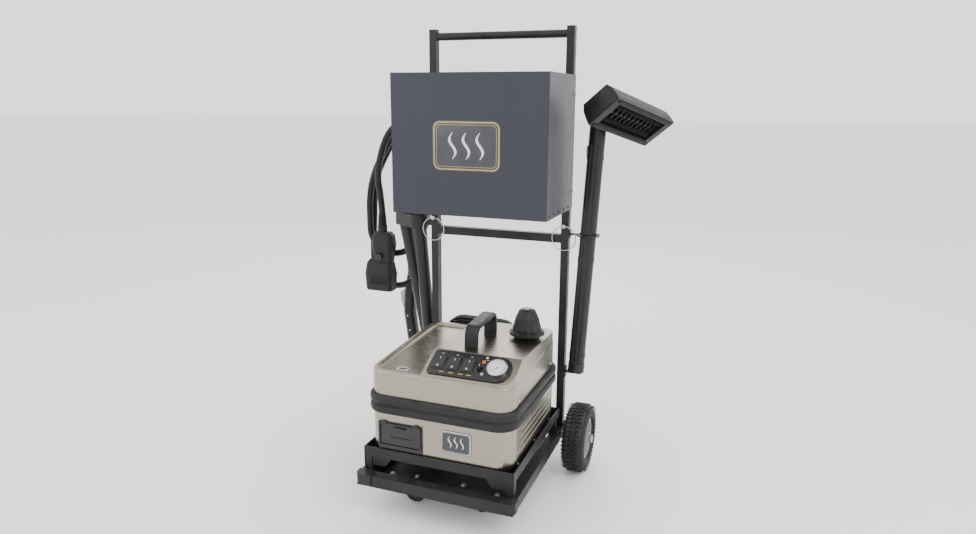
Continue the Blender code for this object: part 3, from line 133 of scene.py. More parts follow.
# ---- finishes
finishes = {
    "powderCoat": {"gleam": 0.28, "color": (0.010, 0.010, 0.012), "second": (0.016, 0.016, 0.019),
                   "patch": 9, "rough": (0.34, 0.50), "grain": 700, "bump": 0.10, "dust": 0.05},
    "binEnamel": {"gleam": 0.36, "color": (0.023, 0.0235, 0.034), "second": (0.025, 0.0255, 0.036),
                  "patch": 9, "rough": (0.35, 0.39), "grain": 480, "bump": 0.09, "dust": 0.03},
    "stainless": {"color": (0.345, 0.314, 0.262), "second": (0.315, 0.286, 0.238), "patch": 4, "metal": 1.0,
                  "rough": (0.24, 0.32), "grain": 260, "bump": 0.012, "brush": (1, 40, 40), "dust": 0.02},
    "zincPlate": {"color": (0.56, 0.56, 0.57), "second": (0.44, 0.45, 0.46), "patch": 60, "metal": 1.0,
                  "rough": (0.26, 0.45), "grain": 500, "bump": 0.06, "dust": 0.05},
    "mouldedBlack": {"gleam": 0.26, "color": (0.009, 0.009, 0.010), "second": (0.014, 0.014, 0.016),
                     "patch": 22, "rough": (0.36, 0.52), "grain": 1100, "bump": 0.12, "dust": 0.04},
    "tubeBlack": {"gleam": 0.30, "color": (0.010, 0.010, 0.011), "second": (0.016, 0.016, 0.017),
                  "patch": 14, "rough": (0.24, 0.38), "grain": 900, "bump": 0.05, "brush": (30, 30, 1),
                  "dust": 0.04},
    "glossBlack": {"color": (0.006, 0.006, 0.007), "second": (0.010, 0.010, 0.011), "patch": 20,
                   "rough": (0.14, 0.24), "grain": 700, "bump": 0.02, "dust": 0.02},
    "hoseRubber": {"gleam": 0.24, "color": (0.008, 0.008, 0.009), "second": (0.014, 0.014, 0.015),
                   "patch": 30, "rough": (0.34, 0.50), "grain": 800, "bump": 0.10, "dust": 0.05},
    "cordRubber": {"gleam": 0.24, "color": (0.009, 0.009, 0.010), "second": (0.015, 0.015, 0.016),
                   "patch": 45, "rough": (0.38, 0.55), "grain": 1400, "bump": 0.10, "dust": 0.05},
    "beltRubber": {"gleam": 0.24, "color": (0.011, 0.011, 0.012), "second": (0.019, 0.019, 0.020),
                   "patch": 20, "rough": (0.48, 0.66), "grain": 900, "bump": 0.14, "dust": 0.06},
    "tyreRubber": {"gleam": 0.22, "color": (0.014, 0.014, 0.015), "second": (0.026, 0.026, 0.026),
                   "patch": 16, "rough": (0.62, 0.82), "grain": 600, "bump": 0.22, "dust": 0.12},
    "rimEnamel": {"color": (0.22, 0.22, 0.225), "second": (0.27, 0.27, 0.275), "patch": 25,
                  "rough": (0.34, 0.50), "grain": 500, "bump": 0.08, "dust": 0.10},
    "greyPlastic": {"color": (0.40, 0.40, 0.41), "second": (0.46, 0.46, 0.47), "patch": 30,
                    "rough": (0.38, 0.50), "grain": 900, "bump": 0.08, "dust": 0.05},
    "chrome": {"color": (0.74, 0.74, 0.75), "second": (0.66, 0.66, 0.68), "patch": 50, "metal": 1.0,
               "rough": (0.08, 0.16), "grain": 300, "bump": 0.01, "dust": 0.02},
    "redLens": {"color": (0.55, 0.020, 0.012), "second": (0.45, 0.015, 0.010), "patch": 90,
                "rough": (0.12, 0.20), "grain": 400, "bump": 0.01, "glow": (0.9, 0.05, 0.02, 0.6)},
    "amberLens": {"color": (0.80, 0.42, 0.03), "second": (0.70, 0.36, 0.03), "patch": 90,
                  "rough": (0.12, 0.20), "grain": 400, "bump": 0.01, "glow": (0.9, 0.45, 0.05, 0.4)},
    "greenLens": {"color": (0.05, 0.42, 0.10), "second": (0.04, 0.34, 0.08), "patch": 90,
                  "rough": (0.12, 0.20), "grain": 400, "bump": 0.01, "glow": (0.05, 0.7, 0.12, 0.4)},
    "dialWhite": {"color": (0.82, 0.82, 0.79), "second": (0.76, 0.76, 0.73), "patch": 60,
                  "rough": (0.45, 0.55), "grain": 500, "bump": 0.02},
    "printWhite": {"color": (0.70, 0.70, 0.70), "second": (0.60, 0.60, 0.60), "patch": 200,
                   "rough": (0.45, 0.60), "grain": 900, "bump": 0.04},
    "printGold": {"color": (0.42, 0.33, 0.15), "second": (0.34, 0.26, 0.12), "patch": 80, "metal": 0.6,
                  "rough": (0.30, 0.42), "grain": 700, "bump": 0.04},
    "printRed": {"color": (0.50, 0.030, 0.022), "second": (0.42, 0.025, 0.018), "patch": 150,
                 "rough": (0.40, 0.55), "grain": 800, "bump": 0.04},
    "printBlack": {"color": (0.012, 0.012, 0.013), "second": (0.03, 0.03, 0.03), "patch": 200,
                   "rough": (0.45, 0.60), "grain": 900, "bump": 0.04},
    "amberPrint": {"color": (0.62, 0.40, 0.06), "second": (0.52, 0.33, 0.05), "patch": 180,
                   "rough": (0.45, 0.60), "grain": 900, "bump": 0.04},
    "binEnamelDark": {"color": (0.030, 0.031, 0.040), "second": (0.042, 0.043, 0.053), "patch": 30,
                      "rough": (0.26, 0.38), "grain": 700, "bump": 0.05, "dust": 0.05},
    "bristle": {"gleam": 0.20, "color": (0.035, 0.034, 0.033), "second": (0.060, 0.058, 0.055),
                "patch": 160, "rough": (0.5, 0.7), "grain": 1200, "bump": 0.2, "brush": (90, 90, 2),
                "dust": 0.2},
}
made = {}


def surface(name):
    # one procedural finish: two tones in patches, uneven gloss, fine grain, a little dust on top
    if name in made:
        return made[name]
    f = finishes[name]
    mat = bpy.data.materials.new(name)
    mat.use_nodes = True
    nodes, links = mat.node_tree.nodes, mat.node_tree.links
    shader = nodes["Principled BSDF"]
    shader.inputs["Metallic"].default_value = f.get("metal", 0.0)
    shader.inputs["Specular IOR Level"].default_value = f.get("gleam", 0.5)
    coord = nodes.new("ShaderNodeTexCoord")

    def noise(scale, detail, stretch=None):
        tex = nodes.new("ShaderNodeTexNoise")
        tex.inputs["Scale"].default_value = scale
        tex.inputs["Detail"].default_value = detail
        if stretch:
            mapping = nodes.new("ShaderNodeMapping")
            mapping.inputs["Scale"].default_value = stretch
            links.new(coord.outputs["Object"], mapping.inputs["Vector"])
            links.new(mapping.outputs[0], tex.inputs["Vector"])
        else:
            links.new(coord.outputs["Object"], tex.inputs["Vector"])
        return tex.outputs["Fac"]

    def spread(value, low, high, fromLow=0.3, fromHigh=0.7):
        node = nodes.new("ShaderNodeMapRange")
        node.inputs["From Min"].default_value, node.inputs["From Max"].default_value = fromLow, fromHigh
        node.inputs["To Min"].default_value, node.inputs["To Max"].default_value = low, high
        links.new(value, node.inputs["Value"])
        return node.outputs["Result"]

    def blend(factor, a, b):
        node = nodes.new("ShaderNodeMix")
        node.data_type = "RGBA"
        for socket, value in ((node.inputs[6], a), (node.inputs[7], b)):
            if isinstance(value, tuple):
                socket.default_value = (*value, 1)
            else:
                links.new(value, socket)
        links.new(factor, node.inputs[0])
        return node.outputs[2]
    patches = noise(f["patch"], 4, f.get("brush"))
    color = blend(spread(patches, 0, 1), f["color"], f["second"])
    if f.get("dust"):
        geometry = nodes.new("ShaderNodeNewGeometry")
        split = nodes.new("ShaderNodeSeparateXYZ")
        links.new(geometry.outputs["Normal"], split.inputs[0])
        lying = nodes.new("ShaderNodeMath")
        lying.operation = "MULTIPLY"
        links.new(spread(split.outputs["Z"], 0, f["dust"], 0.2, 1.0), lying.inputs[0])
        links.new(spread(noise(26, 5), 0.1, 1, 0.4, 0.7), lying.inputs[1])
        color = blend(lying.outputs[0], color, (0.34, 0.33, 0.31))
    links.new(color, shader.inputs["Base Color"])
    low, high = f["rough"]
    links.new(spread(noise(f["patch"] * 3.1, 5, f.get("brush")), low, high), shader.inputs["Roughness"])
    bump = nodes.new("ShaderNodeBump")
    bump.inputs["Strength"].default_value = f["bump"]
    bump.inputs["Distance"].default_value = 0.001
    links.new(noise(f["grain"], 2, f.get("brush")), bump.inputs["Height"])
    links.new(bump.outputs[0], shader.inputs["Normal"])
    if "glow" in f:
        shader.inputs["Emission Color"].default_value = (*f["glow"][:3], 1)
        shader.inputs["Emission Strength"].default_value = f["glow"][3]
    made[name] = mat
    return mat


def gaugeGlass():
    mat = bpy.data.materials.new("gaugeGlass")
    mat.use_nodes = True
    shader = mat.node_tree.nodes["Principled BSDF"]
    shader.inputs["Base Color"].default_value = (0.96, 0.98, 0.98, 1)
    shader.inputs["Alpha"].default_value = 0.16
    shader.inputs["IOR"].default_value = 1.46
    nodes, links = mat.node_tree.nodes, mat.node_tree.links
    tex = nodes.new("ShaderNodeTexNoise")
    coord = nodes.new("ShaderNodeTexCoord")
    tex.inputs["Scale"].default_value = 40
    links.new(coord.outputs["Object"], tex.inputs["Vector"])
    span = nodes.new("ShaderNodeMapRange")
    span.inputs["To Min"].default_value, span.inputs["To Max"].default_value = 0.02, 0.09
    links.new(tex.outputs["Fac"], span.inputs["Value"])
    links.new(span.outputs["Result"], shader.inputs["Roughness"])
    return mat


# ---- making and placing pieces
def piece(name, bm, finish, body, shadeAngle=35, slot=None):
    # a finished mesh in the shared frame, riding on a body
    bmesh.ops.remove_doubles(bm, verts=bm.verts, dist=0.000002)
    bmesh.ops.recalc_face_normals(bm, faces=bm.faces)
    mesh = bpy.data.meshes.new(name)
    bm.to_mesh(mesh)
    bm.free()
    return place(name, mesh, finish, body, shadeAngle, slot)


def place(name, mesh, finish, body, shadeAngle=35, slot=None):
    obj = bpy.data.objects.new(name, mesh)
    bpy.context.scene.collection.objects.link(obj)
    mesh.materials.clear()
    mesh.materials.append(surface(finish) if isinstance(finish, str) else finish)
    for face in mesh.polygons:
        face.use_smooth = True
    mesh.set_sharp_from_angle(angle=radians(shadeAngle))
    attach(obj, body)
    return obj


def settled(obj):
    # the object's modifiers turned into a plain mesh
    graph = bpy.context.evaluated_depsgraph_get()
    graph.update()
    mesh = bpy.data.meshes.new_from_object(obj.evaluated_get(graph))
    obj.modifiers.clear()
    return mesh


def block(lo, hi):
    bm = bmesh.new()
    bmesh.ops.create_cube(bm, size=1)
    for v in bm.verts:
        v.co = Vector([(lo[i] if v.co[i] < 0 else hi[i]) for i in range(3)])
    return bm


def merged(*parts):
    # several bmesh bodies in one
    whole = bmesh.new()
    for bm in parts:
        mesh = bpy.data.meshes.new("part")
        bm.to_mesh(mesh)
        bm.free()
        whole.from_mesh(mesh)
        bpy.data.meshes.remove(mesh)
    return whole


def turned(profile, segs=32):
    # closed body of revolution about Z; profile is (radius, height), open at the axis or a loop
    bm = bmesh.new()
    loop = profile[0][0] > 0 and profile[-1][0] > 0
    rings = []
    for r, h in profile:
        if r == 0:
            rings.append([bm.verts.new((0, 0, h))])
            continue
        rings.append([bm.verts.new((r * cos(2 * pi * k / segs), r * sin(2 * pi * k / segs), h))
                      for k in range(segs)])
    for low, high in list(zip(rings, rings[1:])) + ([(rings[-1], rings[0])] if loop else []):
        for k in range(segs):
            m = (k + 1) % segs
            if len(low) == 1:
                bm.faces.new((low[0], high[m], high[k]))
            elif len(high) == 1:
                bm.faces.new((low[k], low[m], high[0]))
            else:
                bm.faces.new((low[k], low[m], high[m], high[k]))
    return bm


def aimed(bm, origin, along, side=None):
    # carries a body built about Z to a place, with Z turned to a direction and X towards side
    z = Vector(along).normalized()
    if side is None:
        turn = Vector((0, 0, 1)).rotation_difference(z).to_matrix()
    else:
        x = (Vector(side) - z * Vector(side).dot(z)).normalized()
        turn = Matrix((x, z.cross(x), z)).transposed()
    bmesh.ops.transform(bm, matrix=Matrix.Translation(origin) @ turn.to_4x4(), verts=bm.verts)
    return bm


def slab(points, low, high, edge=0.0):
    # flat outline in x and y, raised from low to high, its upper edge eased
    bm = bmesh.new()
    face = bm.faces.new([bm.verts.new((x, y, low)) for x, y in points])
    top = bmesh.ops.extrude_face_region(bm, geom=[face])
    verts = [g for g in top["geom"] if isinstance(g, bmesh.types.BMVert)]
    bmesh.ops.translate(bm, verts=verts, vec=(0, 0, high - low))
    if edge:
        rim = [e for e in bm.edges if all(abs(v.co.z - high) < 1e-7 for v in e.verts)]
        bmesh.ops.bevel(bm, geom=rim, offset=edge, segments=2, profile=0.5, affect="EDGES")
    return bm


def roundedRect(width, height, radius, steps=6):
    points = []
    for k, (sx, sy) in enumerate(((1, 1), (-1, 1), (-1, -1), (1, -1))):
        for i in range(steps + 1):
            a = (k + i / steps) * pi / 2
            points.append((sx * (width / 2 - radius) + radius * cos(a),
                           sy * (height / 2 - radius) + radius * sin(a)))
    return points


def ringPoints(radius, count, start=0.0):
    return [(radius * cos(start + 2 * pi * k / count), radius * sin(start + 2 * pi * k / count))
            for k in range(count)]


def sweptTube(points, radius, sides=12, closed=False):
    # round wire along a path, with capped ends
    pts = [Vector(p) for p in points]
    count = len(pts)
    bm = bmesh.new()
    rings, side = [], None
    for i, p in enumerate(pts):
        before = pts[(i - 1) % count] if closed or i else p
        after = pts[(i + 1) % count] if closed or i < count - 1 else p
        t = (after - before).normalized()
        side = (t.orthogonal() if side is None else side - t * side.dot(t)).normalized()
        up = t.cross(side)
        r = radius(i / (count - 1)) if callable(radius) else radius
        rings.append([bm.verts.new(p + side * r * cos(2 * pi * k / sides) + up * r * sin(2 * pi * k / sides))
                      for k in range(sides)])
    for a, b in list(zip(rings, rings[1:])) + ([(rings[-1], rings[0])] if closed else []):
        for k in range(sides):
            m = (k + 1) % sides
            bm.faces.new((a[k], a[m], b[m], b[k]))
    if not closed:
        bm.faces.new(rings[0][::-1])
        bm.faces.new(rings[-1])
    return bm


# ---- geometry node trees for what repeats
def newTree(name, sockets):
    tree = bpy.data.node_groups.new(name, "GeometryNodeTree")
    tree.interface.new_socket("Geometry", in_out="INPUT", socket_type="NodeSocketGeometry")
    for label, kind in sockets:
        tree.interface.new_socket(label, in_out="INPUT", socket_type="NodeSocket" + kind)
    tree.interface.new_socket("Geometry", in_out="OUTPUT", socket_type="NodeSocketGeometry")
    return tree, tree.nodes.new("NodeGroupInput"), tree.nodes.new("NodeGroupOutput")


def closeTree(tree, given, out, points, rotation=None):
    # instances the part on the points, makes them real and gives them their finish
    nodes, links = tree.nodes, tree.links
    part = nodes.new("GeometryNodeObjectInfo")
    links.new(given.outputs["Part"], part.inputs["Object"])
    inst = nodes.new("GeometryNodeInstanceOnPoints")
    links.new(points, inst.inputs["Points"])
    links.new(part.outputs["Geometry"], inst.inputs["Instance"])
    if rotation:
        links.new(rotation, inst.inputs["Rotation"])
    real = nodes.new("GeometryNodeRealizeInstances")
    links.new(inst.outputs[0], real.inputs[0])
    paint = nodes.new("GeometryNodeSetMaterial")
    links.new(real.outputs[0], paint.inputs["Geometry"])
    links.new(given.outputs["Finish"], paint.inputs["Material"])
    links.new(paint.outputs[0], out.inputs[0])
    return tree


def rowTree():
    # Count copies, each one Step on from the last
    tree, given, out = newTree("copiesInRow", (("Part", "Object"), ("Count", "Int"), ("Step", "Vector"),
                                               ("Finish", "Material")))
    nodes, links = tree.nodes, tree.links
    index = nodes.new("GeometryNodeInputIndex")
    scale = nodes.new("ShaderNodeVectorMath")
    scale.operation = "SCALE"
    links.new(given.outputs["Step"], scale.inputs[0])
    links.new(index.outputs[0], scale.inputs["Scale"])
    points = nodes.new("GeometryNodePoints")
    links.new(given.outputs["Count"], points.inputs["Count"])
    links.new(scale.outputs[0], points.inputs["Position"])
    return closeTree(tree, given, out, points.outputs[0])


def roundTree():
    # Count copies turned about Z, Start and Sweep in radians
    tree, given, out = newTree("copiesAround", (("Part", "Object"), ("Count", "Int"), ("Start", "Float"),
                                                ("Sweep", "Float"), ("Finish", "Material")))
    nodes, links = tree.nodes, tree.links
    index = nodes.new("GeometryNodeInputIndex")
    share = nodes.new("ShaderNodeMath")
    share.operation = "DIVIDE"
    links.new(index.outputs[0], share.inputs[0])
    links.new(given.outputs["Count"], share.inputs[1])
    angle = nodes.new("ShaderNodeMath")
    angle.operation = "MULTIPLY_ADD"
    links.new(share.outputs[0], angle.inputs[0])
    links.new(given.outputs["Sweep"], angle.inputs[1])
    links.new(given.outputs["Start"], angle.inputs[2])
    turn = nodes.new("ShaderNodeCombineXYZ")
    links.new(angle.outputs[0], turn.inputs["Z"])
    points = nodes.new("GeometryNodePoints")
    links.new(given.outputs["Count"], points.inputs["Count"])
    return closeTree(tree, given, out, points.outputs[0], turn.outputs[0])


def spotTree():
    # a copy on every point of the carrier mesh, standing along its facing attribute
    tree, given, out = newTree("copiesOnSpots", (("Part", "Object"), ("Finish", "Material")))
    nodes, links = tree.nodes, tree.links
    facing = nodes.new("GeometryNodeInputNamedAttribute")
    facing.data_type = "FLOAT_VECTOR"
    facing.inputs["Name"].default_value = "facing"
    align = nodes.new("FunctionNodeAlignRotationToVector")
    align.axis = "Z"
    links.new(facing.outputs["Attribute"], align.inputs["Vector"])
    points = nodes.new("GeometryNodeMeshToPoints")
    links.new(given.outputs["Geometry"], points.inputs["Mesh"])
    return closeTree(tree, given, out, points.outputs[0], align.outputs[0])


trees = {"row": rowTree(), "round": roundTree(), "spots": spotTree()}


def repeated(kind, part, values, finish, carrier=None):
    # runs one of the trees on a template body and returns the plain mesh
    tree = trees[kind]
    template = bpy.data.meshes.new("template")
    bmesh.ops.recalc_face_normals(part, faces=part.faces)
    part.to_mesh(template)
    part.free()
    for face in template.polygons:
        face.use_smooth = True
    source = bpy.data.objects.new("template", template)
    bpy.context.scene.collection.objects.link(source)
    holder = bpy.data.objects.new("holder", carrier or bpy.data.meshes.new("holder"))
    bpy.context.scene.collection.objects.link(holder)
    mod = holder.modifiers.new("copies", "NODES")
    mod.node_group = tree
    ids = {s.name: s.identifier for s in tree.interface.items_tree if s.in_out == "INPUT"}
    mod[ids["Part"]] = source
    mod[ids["Finish"]] = surface(finish)
    for label, value in values.items():
        mod[ids[label]] = value
    mesh = settled(holder)
    bpy.data.objects.remove(holder)
    bpy.data.objects.remove(source)
    return mesh


def spots(name, part, places, finish, body, slot=None, shadeAngle=35):
    # copies of a part at (place, direction) pairs
    carrier = bpy.data.meshes.new("spots")
    carrier.from_pydata([tuple(p) for p, n in places], [], [])
    facing = carrier.attributes.new("facing", "FLOAT_VECTOR", "POINT")
    for k, (p, n) in enumerate(places):
        facing.data[k].vector = Vector(n).normalized()
    return place(name, repeated("spots", part, {}, finish, carrier), finish, body, shadeAngle, slot)


def carried(mesh, matrix):
    mesh.transform(matrix)
    return mesh


def lookAlong(origin, along, side=None):
    z = Vector(along).normalized()
    x = Vector(side or z.orthogonal())
    x = (x - z * x.dot(z)).normalized()
    return Matrix.Translation(origin) @ Matrix((x, z.cross(x), z)).transposed().to_4x4()


def hexBolt(across=0.010, height=0.0045, washer=0.0075):
    # hexagon head on a washer, standing up from z = 0
    head = turned([(0, 0.0012), (across / 2, 0.0012), (across / 2, height - 0.0008),
                   (across / 2 - 0.0008, height), (0, height)], 6)
    disc = turned([(0, 0), (washer, 0), (washer, 0.0010), (washer - 0.0004, 0.0014), (0, 0.0014)], 20)
    return merged(head, disc)


def panScrew(radius=0.0035, height=0.0018):
    # domed head with a round recess in the middle
    dome = turned([(0, 0), (radius, 0), (radius, height * 0.35), (radius * 0.8, height * 0.8),
                   (radius * 0.45, height), (radius * 0.3, height * 0.45), (0, height * 0.4)], 16)
    return dome


def blindRivet(radius=0.0040):
    return turned([(0, 0), (radius, 0), (radius * 0.95, radius * 0.25), (radius * 0.6, radius * 0.45),
                   (radius * 0.3, radius * 0.48), (radius * 0.25, radius * 0.35), (0, radius * 0.33)], 16)


# ---- cords
hoseRoute = {"radius": 0.011, "tracks": (0.118, 0.157, 0.183), "saddle": (-0.340, 0.914),
             "saddleR": 0.0951, "hangR": 0.090, "gap": 0.0003,
             "rise": (((-0.4535, 0.775), (-0.4595, 0.830), (-0.449, 0.895)),
                      ((-0.516, 0.690), (-0.514, 0.755), (-0.500, 0.820), (-0.468, 0.890)),
                      ((-0.5205, 0.570), (-0.518, 0.640), (-0.514, 0.710), (-0.511, 0.770), (-0.496, 0.832),
                       (-0.464, 0.897))),
             "fall": (((-0.318, 0.45, 0.700),),
                      ((-0.305, 0.15, 0.715), (-0.320, 0.30, 0.650), (-0.336, 0.45, 0.580))),
             "loops": ((-0.428, 0.660, (0.85, 1, 1, 1, 1)), (-0.433, 0.543, (0.55, 0.60, 0.70, 0.85, 1))),
             "plug": (-0.448, 0.668), "gun": (-0.378, 0.204, 0.520)}
leadRoute = {"radius": 0.0044, "gland": (0.095, 0.0106, 0.215), "horns": (-0.045, 0.372), "run": 0.120,
             "outer": 0.0555, "pitch": 0.009, "back": 0.004, "turns": 11, "plug": (-0.061, 0.0135, 0.3117)}


def smoothed(points, step):
    # evenly spaced points on a Catmull-Rom curve through the route
    pts = [Vector(p) for p in points]
    pts = [2 * pts[0] - pts[1]] + pts + [2 * pts[-1] - pts[-2]]
    fine = []
    for p0, p1, p2, p3 in zip(pts, pts[1:], pts[2:], pts[3:]):
        for k in range(24):
            t = k / 24
            fine.append(0.5 * (2 * p1 + (p2 - p0) * t + (2 * p0 - 5 * p1 + 4 * p2 - p3) * t * t
                               + (3 * p1 - p0 - 3 * p2 + p3) * t ** 3))
    fine.append(pts[-2])
    total = sum((b - a).length for a, b in zip(fine, fine[1:]))
    count = max(2, round(total / step))
    out, walked = [fine[0]], 0.0
    for a, b in zip(fine, fine[1:]):
        d = (b - a).length
        while walked + d >= total / count * len(out) - 1e-9 and len(out) < count:
            out.append(a + (b - a) * ((total / count * len(out) - walked) / d))
        walked += d
    out.append(fine[-1])
    return out, total


def cordCurve(name, points, radius, finish, resolution):
    curve = bpy.data.curves.new(name, "CURVE")
    curve.dimensions = "3D"
    curve.bevel_depth, curve.bevel_resolution, curve.use_fill_caps = radius, resolution, True
    spline = curve.splines.new("POLY")
    spline.points.add(len(points) - 1)
    for slot, p in zip(spline.points, points):
        slot.co = (*p, 1)
    spline.use_smooth = True
    curve.materials.append(surface(finish))
    obj = bpy.data.objects.new(name, curve)
    bpy.context.scene.collection.objects.link(obj)
    return obj


def makeHose(h):
    # three hanging loops over the saddle, drawn from the connector and turned round to start at the gun
    y, (hookX, hookZ), (plugX, plugTop) = h["tracks"], h["saddle"], h["plug"]
    gunX, gunY, gunTop = h["gun"]
    points = [(plugX, y[0], plugTop), (plugX, y[0], plugTop + 0.052)]
    for k in range(3):
        points += [(x, y[k], z) for x, z in h["rise"][k]]
        points += [(hookX + h["saddleR"] * cos(radians(a)), y[k], hookZ + h["saddleR"] * sin(radians(a)))
                   for a in (150, 118, 86, 54, 22, -10)]
        points += [(-0.262, y[k], 0.835), (-0.283, y[k], 0.775)]
        if k < 2:
            step = y[k + 1] - y[k]
            cx, cz, shares = h["loops"][k]
            points += [(x, y[k] + step * share, z) for x, share, z in h["fall"][k]]
            points += [(cx + h["hangR"] * cos(radians(a)), y[k] + step * share,
                        cz + h["hangR"] * sin(radians(a)))
                       for a, share in zip((-25, -60, -95, -130, -160), shares)]
    points += [(-0.312, y[2] + 0.008, 0.715), (-0.343, gunY, 0.660), (-0.367, gunY, 0.610),
               (gunX, gunY, gunTop + 0.045), (gunX, gunY, gunTop + h["gap"])]
    path, length = smoothed([at(*p) for p in reversed(points)], 0.012)
    hose = cordCurve("steamHose", path, h["radius"], "hoseRubber", 6)
    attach(hose, "cart")
    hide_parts("steam_hose")
    return hose, path[0], length


def woundLead(w):
    # eleven turns on the two horns, four layers of three; a turn steps to its next place on a straight run,
    # the inner layers first, so no two steps meet
    (cx, cz), run, pitch = w["horns"], w["run"], w["pitch"]
    order = [(layer, k) for layer in range(4) for k in ((0, 1, 2) if layer % 2 == 0 else (2, 1, 0))]
    stepAt = {3: (0, 1 / 3), 2.5: (1 / 3, 2 / 3), 2: (2 / 3, 1), 1.5: (1, 1.25), 1: (1.25, 1.5),
              0.5: (1.5, 1.75), 0: (1.75, 2)}
    points = []
    for turn in range(w["turns"]):
        now, after = order[turn], order[turn + 1]
        start, end = stepAt[(now[0] + after[0]) / 2]

        def spot(place, angle=None, side=1):
            share = min(1, max(0, (place - start) / (end - start)))
            share = share * share * (3 - 2 * share)
            r = w["outer"] - pitch * (now[0] + (after[0] - now[0]) * share)
            y = w["back"] - pitch * (now[1] + (after[1] - now[1]) * share)
            if angle is None:
                top = place <= 1
                x = run / 2 - place * run if top else (place - 1) * run - run / 2
                return (cx + x, y, cz + (r if top else -r))
            return (cx + side * run / 2 + r * cos(angle), y, cz + r * sin(angle))
        points += [spot(0, radians(a)) for a in range(0, 90, 15)]
        points += [spot(k / 12) for k in range(12)]
        points += [spot(1, radians(a), -1) for a in range(90, 270, 15)]
        points += [spot(1 + k / 12 + 1e-6) for k in range(12)]
        points += [spot(2, radians(a)) for a in range(-90, 0, 15)]
    # last quarter turn, then down between the horns to the plug
    r = w["outer"] - 3 * pitch
    plugX, plugY, plugTop = w["plug"]
    points += [(cx + run / 2 + r * cos(radians(a)), w["back"], cz + r * sin(radians(a))) for a in range(0, 91, 15)]
    points += [(cx + 0.048, w["back"], cz + r), (cx + 0.031, (w["back"] + plugY) / 2, cz + r)]
    points += [(cx + 0.020 + 0.036 * cos(radians(a)), plugY, cz + r - 0.036 + 0.036 * sin(radians(a)))
               for a in range(90, 181, 15)]
    return points + [(plugX, plugY, plugTop + 0.030), (plugX, plugY, plugTop + 0.012), (plugX, plugY, plugTop)]


def makeLead(w):
    # out of the gland, round and up to the outermost turn, wound, and down to the plug
    gx, gy, gz = w["gland"]
    wound = woundLead(w)
    turns = [(0.046, 0.255, 0.040, a) for a in (-60, -25, 10, 45, 80)]
    turns += [(0.041, 0.332, 0.037, a) for a in (-110, -145, -175)]
    rise = [(gx, gy, gz), (gx, 0.034, gz)]
    for k, (y, z, r, a) in enumerate(turns):
        share = (k + 1) / len(turns)
        rise.append((gx + (wound[0][0] - gx) * share, y + r * cos(radians(a)), z + r * sin(radians(a))))
    first = smoothed([at(*p) for p in rise + [(wound[0][0], w["back"], 0.350), wound[0]]], 0.009)[0]
    tail = 10
    path = first[:-1] + [at(*p) for p in wound[:-tail]]
    path += smoothed([at(*p) for p in wound[-tail:]], 0.007)[0]
    lead = cordCurve("mainsLead", path, w["radius"], "cordRubber", 4)
    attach(lead, "cart")
    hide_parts("power_cord", "cord_hank")
    return lead, path[0], sum((b - a).length for a, b in zip(path, path[1:]))


makeCamera(cameraSetup)
makeStudio(studio)
print("studio ready")
hose, hoseExit, hoseLength = makeHose(hoseRoute)
lead, leadExit, leadLength = makeLead(leadRoute)
print("cords laid: hose %.2f m, lead %.2f m" % (hoseLength, leadLength))


# ---- control panel
panelNormal = axisOf("selector_turn")
panelUp = panelNormal.cross(Vector((1, 0, 0)))
panelHome = pivot("rocker_tip_1") - Vector((-0.0124, 0, 0)) - panelUp * 0.0425 - panelNormal * 0.0045
panelLook = {"face": 0.0036, "rockers": (-0.0124, 0.0272, 0.0668), "rockerUp": 0.0425, "knob": (0.0985, 0.040),
             "gauge": (0.1431, 0.046), "amber": (0.1074, 0.0766), "green": (0.1101, 0.0225),
             "labelUp": 0.0130, "ticks": 28, "numbers": 6}


def onPanel(x, up, out=0.0):
    turn = Matrix((Vector((1, 0, 0)), panelUp, panelNormal)).transposed().to_4x4()
    place = panelHome + Vector((x, 0, 0)) + panelUp * up + panelNormal * out
    return Matrix.Translation(place) @ turn


def laid(bm, matrix):
    bmesh.ops.transform(bm, matrix=matrix, verts=bm.verts)
    return bm


def frameOf(outer, inner, low, high):
    # flat frame between two outlines of the same number of points
    bm = bmesh.new()
    rings = [[bm.verts.new((x, y, z)) for x, y in points]
             for points, z in ((outer, low), (outer, high - 0.0003), ([(x * 0.985, y * 0.985) for x, y in outer], high),
                               (inner, high), (inner, low))]
    n = len(outer)
    for a, b in zip(rings, rings[1:] + rings[:1]):
        for k in range(n):
            m = (k + 1) % n
            bm.faces.new((a[k], a[m], b[m], b[k]))
    return bm


def numeral(text, size):
    # a number as a thin mesh, centred
    font = bpy.data.curves.new("numeral", "FONT")
    font.body, font.size, font.extrude = text, size, 0.00006
    font.align_x, font.align_y = "CENTER", "CENTER"
    obj = bpy.data.objects.new("numeral", font)
    bpy.context.scene.collection.objects.link(obj)
    bpy.context.view_layer.update()
    mesh = bpy.data.meshes.new_from_object(obj.evaluated_get(bpy.context.evaluated_depsgraph_get()))
    bpy.data.objects.remove(obj)
    bm = bmesh.new()
    bm.from_mesh(mesh)
    bpy.data.meshes.remove(mesh)
    return bm


def arcBand(r0, r1, start, end, low, high, steps=20):
    points = [(r1 * cos(start + (end - start) * k / steps), r1 * sin(start + (end - start) * k / steps))
              for k in range(steps + 1)]
    points += [(r0 * cos(end + (start - end) * k / steps), r0 * sin(end + (start - end) * k / steps))
               for k in range(steps + 1)]
    return slab(points, low, high)


